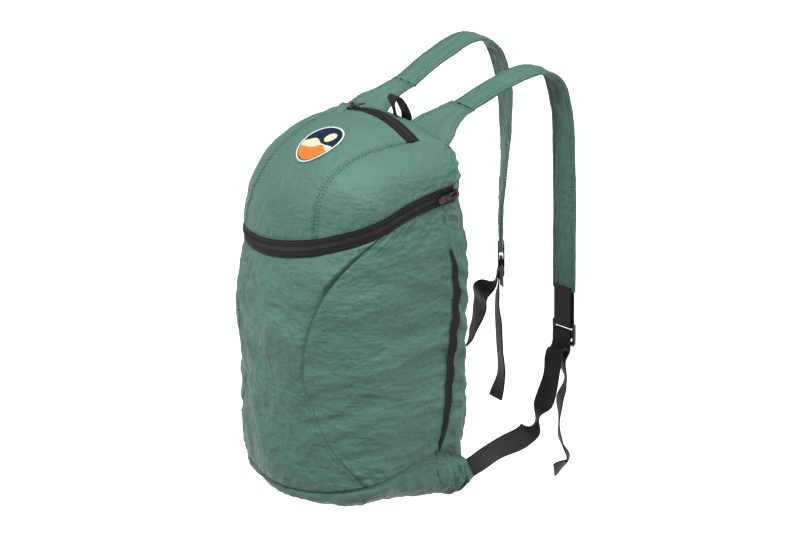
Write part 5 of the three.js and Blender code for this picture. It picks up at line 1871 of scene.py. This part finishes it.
@dataclass(frozen=True)
class StrapPlan:
    """The straps' shared sizes, and the frames in which their adjusters hang."""

    spread: float = 52
    strap_width: float = 36.5
    end_width: float = 33
    strap_cloth: float = 2.6
    wing_length: float = 47
    wing_rise: float = 14
    wing_inner: float = 19
    wing_setback: float = 4.5
    wing_sag: float = 9
    wing_crown: float = 1.5
    reach: float = 134
    seam_gap: float = 0.5
    seat_gap: float = 0.35
    webbing: float = 1.5
    bar: float = 4
    slot: float = 6.4
    buckle: float = 3.4
    arch: tuple[float, ...] = (0.00, 0.64, 0.96, 0.70, 0.25, 0.05, 0.00, 0.00, 0.00)
    fall: tuple[float, ...] = (0.00, 0.00, 0.00, 0.02, 0.14, 0.34, 0.56, 0.78, 1.00)

    @property
    def wing_foot(self) -> float:
        """Height of the wings' feet."""
        return FORM.back_edge_height + 1

    @property
    def wing_end(self) -> float:
        """Where the wings meet the straps."""
        return FORM.back_top_depth + self.wing_length

    def route(self, side: Side) -> Array:
        """The strap's rows, from the wing over the shoulder and down to the adjuster."""
        hang = HANGS[side]
        top = self.wing_foot + self.wing_rise + self.strap_cloth / 2
        y = self.wing_end + self.seam_gap + self.reach * np.array(hang.reach)
        z = top + hang.rise * np.array(self.arch) - hang.drop * np.array(self.fall)
        return points_of(side.value * self.spread, y, z)

    def frame(self, side: Side) -> tuple[Callable[[Array, Array], Array], Array, Array]:
        """The adjuster's own frame.

        Returns:
            A function from a distance down and one outward to a point, the direction
            down and the direction of the width.
        """
        rows = self.route(side)
        down = unit(rows[-1] - rows[-2])
        lie = sideways(down, HANGS[side].turns[-1])
        outward = unit(np.cross(lie, down))
        start = self.seam_gap + HANGS[side].anchor

        def at(along: Array, out: Array) -> Array:
            along, out = np.asarray(along, float), np.asarray(out, float)
            return rows[-1] + (start + along)[..., None] * down + out[..., None] * outward

        return at, down, lie

    @property
    def over_bar(self) -> float:
        """From a bar's middle to the middle of webbing that lies on it."""
        return self.buckle / 2 + self.seat_gap + self.webbing / 2

    @property
    def bar_side(self) -> float:
        """From a bar's middle to the middle of webbing beside it."""
        return self.bar / 2 + self.seat_gap + self.webbing / 2


PLAN = StrapPlan()


@dataclass(frozen=True)
class ShoulderStraps:
    """The cloth wings and straps, hemmed along both edges.

    A strap's face stands out by its rise, is fuller between the hems by fullness, swells
    at its edges and dips at the hems' seams; crumple and slow_wave are its folds.
    """

    hem: float = 4.2
    wing_grid: tuple[int, int] = (60, 70)
    wing_wall: float = 2.0
    wing_sewn: tuple[float, float] = (4.0, 0.9)
    wing_rows: tuple[float, float] = (2.0, 6.5)
    join_rows: tuple[float, float] = (3.0, 6.0)
    face_points: int = 31
    edge_points: int = 3
    rise: float = 0.55
    fullness: float = 0.7
    edge_swell: float = 0.35
    hem_dip: float = 0.32
    crumple: float = 1.7
    slow_wave: float = 0.9
    stitches: Stitches = Stitches(pitch=3.6, length=2.5, width=0.75)
    wing_folds: Folds = Folds(dents=1.0, creases=0.9, fine=0.3, puckers=0.9, pucker_reach=12, dip=0.8,
                              stretch=(1.6, 0.7, 1))

    def build(self, finishes: Finishes) -> None:
        """Makes both sides and their stitching."""
        thread = MeshParts()
        for side in Side:
            self.wing(side, finishes, thread)
            self.strap(side, finishes, thread)
        settle(thread.build("strap_stitching"), finishes.green_thread)

    def wing(self, side: Side, finishes: Finishes, thread: MeshParts) -> None:
        """Makes the cloth that flares from the yoke into a strap."""
        edge = FORM.back_sheet(np.linspace(0.001, 1, 200) * side.value, np.ones(200))
        edge_x = edge[:, 0] * side.value

        def surface(row: Array, column: Array) -> Array:
            foot_x = mix(PLAN.wing_inner, FORM.back_top_half_width - 1, column)
            past = (foot_x - FORM.lid_seam_offset) / (FORM.back_top_half_width - FORM.lid_seam_offset)
            sag = PLAN.wing_sag * np.maximum(0, past) ** 2
            seam_x = PLAN.spread + (2 * column - 1) * PLAN.strap_width / 2
            narrow = 1 - (1 - row) ** 2.4
            x = mix(foot_x, seam_x, narrow)
            y = mix(FORM.back_top_depth + PLAN.wing_setback + sag * 0.2, PLAN.wing_end + 2, row)
            z = mix(PLAN.wing_foot - sag, PLAN.wing_foot + PLAN.wing_rise, row)
            z = z + PLAN.wing_crown * np.sin(np.pi * row) + PLAN.strap_cloth
            sewn = 1 - smooth(row / 0.22)
            forward, down = self.wing_sewn
            y = mix(y, np.interp(foot_x, edge_x, edge[:, 1]) - forward, sewn)
            z = mix(z, np.interp(foot_x, edge_x, edge[:, 2]) - down, sewn)
            return points_of(side.value * x, y, z)

        def facing(row: Array, column: Array) -> Array:
            return surface(row, column if side is Side.RIGHT else 1 - column)

        grid = plain_grid(*self.wing_grid, facing)
        borders = (Border.FREE, Border.FREE, Border.ZIP, Border.SEAM)
        sheet = ClothSheet(f"wing_cloth_{side.label}", borders, self.wing_folds, wall=self.wing_wall)
        creased = sheet.build(grid, finishes.nylon, [f"shoulder_wing_{side.label}"])
        for from_end in (False, True):
            for distance in self.wing_rows:
                self.stitches.sew_beside(thread, creased, 1, distance, from_end)
        for distance in self.join_rows:
            line = line_beside(creased, 0, distance, True)
            self.stitches.sew(thread, line, np.array([0, -0.3, 1.0]))

    def strap(self, side: Side, finishes: Finishes, thread: MeshParts) -> None:
        """Makes one strap: two layers of cloth that are full between the hems."""
        rows = PLAN.route(side)
        way = ribbon_way(rows, [None] * len(rows), HANGS[side].turns, 1.5)
        width = mix(PLAN.strap_width, PLAN.end_width, smooth((way.share - 0.35) / 0.65))
        across, height = flat_profile(self.face_points, self.edge_points)
        half = width[:, None] / 2 - 0.5
        places = half * across.real - 0.5 * across.imag
        gap = half - np.abs(across.real) * half
        rise = self.rise + self.fullness * smooth((gap - self.hem) / 7)
        rise = rise + self.edge_swell * np.exp(-(((gap - 2.0) / 1.3) ** 2))
        rise = rise - self.hem_dip * np.exp(-(((gap - self.hem) / 0.8) ** 2))
        side_face = np.sign(height)[None] * np.where(np.abs(across.imag) > 0, 0, 1)
        spot = points_of(way.runs[:, None] / 11 + 40 * side.value, places / 8, side_face * 3.0)
        crumple = self.crumple * CRUMPLE.creases(spot * np.array([0.3, 0.7, 1]), 2)
        crumple = crumple + 0.7 * CRUMPLE.noise(spot * 1.4)
        inside = smooth(gap / 5)
        profile = height[None] * (rise + np.abs(side_face) * crumple * (0.35 + 0.65 * inside) * 0.8)
        slow = points_of(way.runs[:, None] / 34, places / 30, 7.0 * side.value)
        wave = self.slow_wave * CRUMPLE.noise(slow)
        parts = MeshParts()
        rings = add_ribbon(parts, way, places, profile, wave)
        settle(parts.build(f"strap_cloth_{side.label}"), finishes.nylon,
               [f"shoulder_strap_{side.label}"])
        count, start = self.face_points, self.face_points + self.edge_points
        for face, sign in ((slice(0, count), 1.0), (slice(start, start + count), -1.0)):
            sheet = rings[:, face]
            for from_end in (False, True):
                line = line_beside(sheet, 1, self.hem, from_end)
                self.stitches.sew(thread, line, sign * way.face)


@dataclass(frozen=True)
class Adjusters:
    """The anchors, the ladder locks, the corner tabs and the long webbing with its tail.

    The corner tab grows from tab_roots, shares of the way round the bottom's curve, and
    its pad lies between the stations pad_from and pad_to.
    """

    buckle_width: float = 33
    voxel: float = 0.42
    seam_half: float = 11
    stitches: Stitches = Stitches(pitch=2.6, length=1.9, width=0.6, height=0.25)
    tab_reach: float = 12
    tab_roots: tuple[float, ...] = (0.34, 0.48, 0.62, 0.75, 0.86)
    tab_drop: float = 0.5
    tab_lift: float = 0.85
    overlap: float = 5
    pad_from: float = 1.72
    pad_to: float = 2.05
    pad_grid: tuple[int, int] = (80, 64)
    pad_reach: float = 0.74
    pad_heart: tuple[float, float, float] = (60, 50, 40)
    pad_bulge: float = 2.2
    pad_wall: float = 1.2
    pleat: float = 4.6
    pucker: float = 2.2

    def build(self, finishes: Finishes) -> None:
        """Makes both sides."""
        thread = MeshParts()
        for side in Side:
            self.anchor(side, finishes, thread)
            self.ladder_lock(side, finishes)
            self.lower(side, finishes, thread)
            self.corner_tab(side, finishes)
        settle(thread.build("webbing_stitching"), finishes.black_thread)

    def anchor(self, side: Side, finishes: Finishes, thread: MeshParts) -> None:
        """Makes the short webbing that holds the adjuster by its top bar."""
        at, _, lie = PLAN.frame(side)
        sewn, top = -HANGS[side].anchor - self.overlap, PLAN.bar / 2
        o, b = PLAN.over_bar, PLAN.bar_side
        rows = [
            (sewn, o), (top - 6, o), (top, o + 0.15), (top + b - 0.3, o * 0.88), (top + b + 0.2, 0),
            (top + b - 0.3, -o * 0.88), (top, -o - 0.15), (top - 6, -o), (sewn, -o),
        ]
        table = np.array(rows)
        points = at(table[:, 0], table[:, 1])
        way = ribbon_way(points, [lie] * len(rows), [0] * len(rows), 0.9)
        parts = MeshParts()
        Webbing().lay(parts, way)
        settle(parts.build(f"anchor_webbing_{side.label}"), finishes.webbing,
               [f"strap_anchor_{side.label}"])
        outward = unit(np.cross(lie, PLAN.frame(side)[1]))
        for along in (sewn + 3.0, top - 7.5):
            for out, sign in ((o + 0.75, 1.0), (-o - 0.75, -1.0)):
                middle = at(np.full(40, along), np.full(40, out))
                line = middle + np.linspace(-self.seam_half, self.seam_half, 40)[:, None] * lie
                self.stitches.sew(thread, line, sign * outward)

    def ladder_lock(self, side: Side, finishes: Finishes) -> None:
        """Makes the adjuster: three round bars between two rails, and a lip at its foot.

        Each bar is a superellipse carried along a straight or bent line; a voxel remesh
        joins them and a light smoothing rounds their corners.
        """
        at, down, lie = PLAN.frame(side)
        outward = unit(np.cross(lie, down))
        length = 3 * PLAN.bar + 2 * PLAN.slot
        half = self.buckle_width / 2 - 1.9
        parts = MeshParts()
        rails = np.array([[0.8, 0.0], [length / 2, 0.35], [length - 1.0, 0.0]])
        for sign in (-1, 1):
            line = at(rails[:, 0], rails[:, 1]) + sign * half * lie
            self.bar(parts, line, lie, 3.9, 3.6)
        places = np.linspace(-half, half, 7)
        for middle in (PLAN.bar / 2, length / 2, length - PLAN.bar / 2):
            line = at(np.full(7, middle), np.zeros(7)) + places[:, None] * lie
            self.bar(parts, line, down, PLAN.bar, PLAN.buckle)
        lip = np.linspace(-half + 1, half - 1, 7)
        line = at(np.full(7, length + 0.8), np.full(7, 1.1)) + lip[:, None] * lie
        self.bar(parts, line, unit(down + 0.8 * outward), 4.2, 2.0)
        piece = parts.build(f"ladder_lock_moulded_{side.label}")
        remesh = piece.modifiers.new("join", "REMESH")
        remesh.mode = "VOXEL"
        remesh.voxel_size = self.voxel * MM
        remesh.use_smooth_shade = True
        soften = piece.modifiers.new("soften", "SMOOTH")
        soften.factor, soften.iterations = 0.5, 5
        settle(piece, finishes.plastic, [f"ladder_lock_{side.label}"])

    @staticmethod
    def bar(parts: MeshParts, line: Array, wide: Array, width: float, thickness: float) -> None:
        """Adds a closed bar: a superellipse of power 3 carried along a line."""
        along = unit(np.gradient(line, axis=0))
        across = unit(wide - along * np.sum(wide * along, -1, keepdims=True))
        cos, sin = round_line(24).T
        places = np.sign(cos) * np.abs(cos) ** (2 / 3) * width / 2
        heights = np.sign(sin) * np.abs(sin) ** (2 / 3) * thickness / 2
        way = RibbonWay(line, along, across, np.cross(along, across), np.linspace(0, 1, len(line)))
        add_ribbon(parts, way, np.tile(places, (len(line), 1)), heights)

    def tab_corners(self, side: Side) -> dict[str, Array]:
        """The corner tab's root line on the bottom's curve, and its three free corners."""
        station = np.array([FORM.edge_station])
        rim = FORM.body(station, np.zeros(1))[0]
        x, y = outline(FORM.edge_station, FORM.half_width * FORM.width.value[0],
                       FORM.front_depth * FORM.front.value[0],
                       FORM.back_depth * FORM.back.value[0], FORM.corner_radius)
        seam = np.array([float(x), float(y), rim[2] - self.tab_drop])
        heart = seam * np.array([0.5, 0.5, 0.8])
        square = smooth(seam[1] / FORM.back_depth)
        roundness = mix(FORM.bottom_round_front, FORM.bottom_round_back, square)
        turns = np.arcsin(np.array(self.tab_roots) ** (roundness / 2))
        points = FORM.bottom(seam[None] + 0 * turns[:, None], turns / (np.pi / 2))
        roots = points + unit(points - heart) * self.tab_lift
        reach = self.tab_reach
        corners = {
            "roots": roots,
            "upper": roots[0] + reach * np.array([0.25, 0.20, -0.10]),
            "outer": roots[0] + reach * np.array([0.30, 0.95, -1.75]),
            "low": roots[-1] + reach * np.array([0.60, -0.10, -0.40]),
        }
        return {key: value * np.array([side.value, 1, 1]) for key, value in corners.items()}

    def corner_tab(self, side: Side, finishes: Finishes) -> None:
        """Makes the folded cloth triangle: a crumpled pad from its root to its free edge."""
        corners = self.tab_corners(side)
        mirror = np.array([side.value, 1, 1])
        share = np.linspace(0, 1, self.pad_grid[0])
        station = mix(self.pad_from, self.pad_to, share)
        rim = FORM.body(station, np.zeros_like(share))
        rim[:, 2] -= 0.2
        seat = FORM.bottom(rim, mix(0.0, self.pad_reach, share))
        away = unit(seat - np.array(self.pad_heart))
        inner = (seat + 0.2 * away) * mirror
        edge = even_steps(np.stack([corners["upper"], corners["outer"], corners["low"]]), 0.6)[0]
        lines = [inner]
        for line in (even_steps(corners["roots"], 0.6)[0], edge):
            at = np.linspace(0, 1, len(line))
            lines.append(spread(share, at, line))
        lines[1] = lines[1] + 1.6 * away * mirror
        lines[1][0] = lines[1][0] + np.array([0, 0, 5.0])
        lines[2] = lines[2] + smooth(share * 2 - 1)[:, None] * np.array([-6.0, -4.0, -4.0]) * mirror
        column = np.linspace(0, 1, self.pad_grid[1])[None, :, None]
        root, ridge, free = (line[:, None] for line in lines)
        grid = mix(mix(root, ridge, column), mix(ridge, free, column), column)
        bulge = 4 * column * (1 - column)
        grid = grid + self.pad_bulge * bulge * (away * mirror)[:, None]
        normals = grid_normals(grid)
        normals = normals * np.sign(np.sum(normals * (away * mirror)[:, None], -1, keepdims=True))
        thick = self.pad_wall * np.sqrt(np.clip(1 - (2 * column[..., 0] - 1) ** 4, 0.02, 1))
        thick = thick * (np.clip(1 - (2 * share[:, None] - 1) ** 6, 0.05, 1))
        flat = 0 * thick
        pleats = points_of(column[..., 0] * 6 + flat, share[:, None] * 1.8 + flat, 3.0 * side.value)
        inside = np.sin(np.pi * column[..., 0]) ** 0.7 * np.sin(np.pi * share[:, None]).clip(0) ** 0.5
        folds = self.pleat * CRUMPLE.creases(pleats * 0.8, 2) + self.pucker * CRUMPLE.noise(grid / 8)
        crumple = inside * folds
        top = grid + (thick + crumple)[..., None] * normals
        under = grid - (thick * 0.8)[..., None] * normals
        parts = MeshParts()
        add_sheet(parts, top, under, grid)
        settle(parts.build(f"corner_tab_cloth_{side.label}"), finishes.nylon,
               [f"corner_tab_{side.label}"])

    def lower(self, side: Side, finishes: Finishes, thread: MeshParts) -> None:
        """Makes the long webbing: from the corner tab, round the middle bar, to its loose end."""
        hang = HANGS[side]
        corners = self.tab_corners(side)
        edge = unit(corners["outer"] - corners["upper"])
        sewn = mix(corners["upper"], corners["outer"], 0.5)
        inward = corners["low"] - sewn
        inward = unit(inward - edge * np.dot(inward, edge))
        start = sewn - inward * 0.1
        at, _, lie = PLAN.frame(side)
        table = np.array(self.bar_rows())
        bars = at(table[:, 0], table[:, 1])
        points = [start, start - inward * 10]
        lies: list[Optional[Array]] = [edge * side.value] * 2
        turns = [0.0, 0.0]
        for row, (out, back, up, turn) in enumerate(hang.lower):
            points.append(mix(start, bars[0], np.array([out, back, up])))
            lies.append(TO_CAMERA if row == hang.edge_on else None)
            turns.append(turn)
        points += list(bars)
        lies += [lie] * len(bars)
        turns += [0.0] * len(bars)
        for down, back, turn in hang.end:
            points.append(bars[-1] + hang.tail * np.array([0, back, -down]))
            lies.append(None)
            turns.append(turn)
        way = ribbon_way(np.array(points), lies, turns, 1.3)
        parts = MeshParts()
        Webbing().lay(parts, way)
        settle(parts.build(f"lower_webbing_{side.label}"), finishes.webbing,
               [f"lower_strap_{side.label}"])

    @staticmethod
    def bar_rows() -> list[tuple[float, float]]:
        """The webbing's rows round the adjuster's middle bar: distance down, then outward."""
        first = PLAN.bar + PLAN.slot / 2
        pitch = (PLAN.slot + PLAN.bar) / 2
        middle, second, low = first + pitch, first + 2 * pitch, first + 3 * pitch
        o, b = PLAN.over_bar, PLAN.bar_side
        load = o + PLAN.webbing + 2 * PLAN.seat_gap
        return [
            (low + 6, -load - 2.2), (low, -load), (second, -load + 0.5), (middle, -o - 0.35),
            (middle - b * 0.9, -o * 0.92), (middle - b - 0.2, 0), (middle - b * 0.9, o * 0.9),
            (middle, o + 0.2), (middle + b * 0.9, o * 0.9), (middle + b + 0.3, 0),
            (second + 1.5, -o * 0.95), (low, -o - 0.1), (low + 7, -o + 0.2),
        ]


def toward(azimuth: float, elevation: float) -> Vector:
    """A direction from the bag.

    Args:
        azimuth: in degrees, 0 in front of the bag and 90 at its right.
        elevation: the height over the horizon, in degrees.
    Returns:
        A vector of length one.
    """
    a, e = math.radians(azimuth), math.radians(elevation)
    return Vector((math.sin(a) * math.cos(e), -math.cos(a) * math.cos(e), math.sin(e)))


@dataclass(frozen=True)
class Studio:
    """A pale floor, soft lights and the camera at the photograph's angle, in metres."""

    azimuth: float = 55
    elevation: float = 20
    distance: float = 4.0
    view_width: float = 0.8421
    sensor: float = 36
    target: tuple[float, float, float] = (0.0, -0.1315, -0.2112)
    floor_height: float = -0.98
    floor_half: float = 14.0
    lid: tuple[float, float, float] = (0.0, -0.22, -0.06)
    key_from: tuple[float, float] = (22, 50)
    key_distance: float = 1.6
    key_size: float = 0.7
    key_power: float = 30
    side_from: tuple[float, float] = (135, 26)
    side_breadth: float = 20
    side_power: float = 1.5
    sky_heights: tuple[float, float] = (-0.5, 0.9)
    sky_strengths: tuple[float, float] = (0.06, 0.60)

    def build(self, finishes: Finishes) -> None:
        """Makes the camera, the floor, the lights and the world."""
        self.camera()
        mesh = bpy.data.meshes.new("floor")
        s, z = self.floor_half, self.floor_height
        mesh.from_pydata([(-s, -s, z), (s, -s, z), (s, s, z), (-s, s, z)], [], [(0, 1, 2, 3)])
        mesh.materials.append(finishes.floor)
        floor = link("floor", mesh)
        floor.visible_diffuse = False
        key = self.lamp("key", "AREA", self.key_from, self.key_power)
        key.size = self.key_size
        side = self.lamp("side", "SUN", self.side_from, self.side_power)
        side.angle = math.radians(self.side_breadth)
        self.sky()
        bpy.context.scene.view_settings.view_transform = "Standard"

    def camera(self) -> None:
        """Makes the camera, which looks at the target."""
        back = toward(self.azimuth, self.elevation)
        data = bpy.data.cameras.new("camera")
        data.sensor_width = self.sensor
        data.lens = self.sensor * self.distance / self.view_width
        camera = link("camera", data)
        camera.location = Vector(self.target) + back * self.distance
        camera.rotation_euler = (-back).to_track_quat("-Z", "Y").to_euler()
        bpy.context.scene.camera = camera

    def lamp(self, name: str, kind: str, place: tuple[float, float], power: float) -> bpy.types.Light:
        """Makes a light that looks at the lid.

        Args:
            name: its name.
            kind: AREA for a square softbox, SUN for a broad distant light.
            place: its azimuth and elevation, in degrees.
            power: its power in watts, or a sun's strength.
        Returns:
            The light's data.
        """
        data = bpy.data.lights.new(name, kind)
        data.energy = power
        way = toward(*place)
        lamp = link(name, data)
        lamp.location = Vector(self.lid) + way * self.key_distance
        lamp.rotation_euler = way.to_track_quat("Z", "Y").to_euler()
        return data

    def sky(self) -> None:
        """Makes the world: white light that falls off from top to bottom."""
        world = bpy.data.worlds.new("studio")
        world.use_nodes = True
        tree = world.node_tree
        split = tree.nodes.new("ShaderNodeSeparateXYZ")
        fall = tree.nodes.new("ShaderNodeMapRange")
        tree.links.new(tree.nodes.new("ShaderNodeTexCoord").outputs["Generated"], split.inputs[0])
        tree.links.new(split.outputs["Z"], fall.inputs["Value"])
        for i, value in enumerate((*self.sky_heights, *self.sky_strengths), start=1):
            fall.inputs[i].default_value = value
        ground = tree.nodes["Background"]
        ground.inputs["Color"].default_value = (1, 1, 1, 1)
        tree.links.new(fall.outputs[0], ground.inputs["Strength"])
        bpy.context.scene.world = world


def main() -> None:
    """Builds the studio and every piece, in order."""
    logging.basicConfig(level=logging.INFO, format="%(name)s %(message)s")
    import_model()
    finishes = Finishes()
    Studio().build(finishes)
    BodyCloth().build(finishes)
    LidCloth().build(finishes)
    Zips().build(finishes)
    BADGE.build(finishes)
    SideTapes().build(finishes)
    HaulLoop().build(finishes)
    ShoulderStraps().build(finishes)
    Adjusters().build(finishes)


if __name__ == "__main__":
    main()
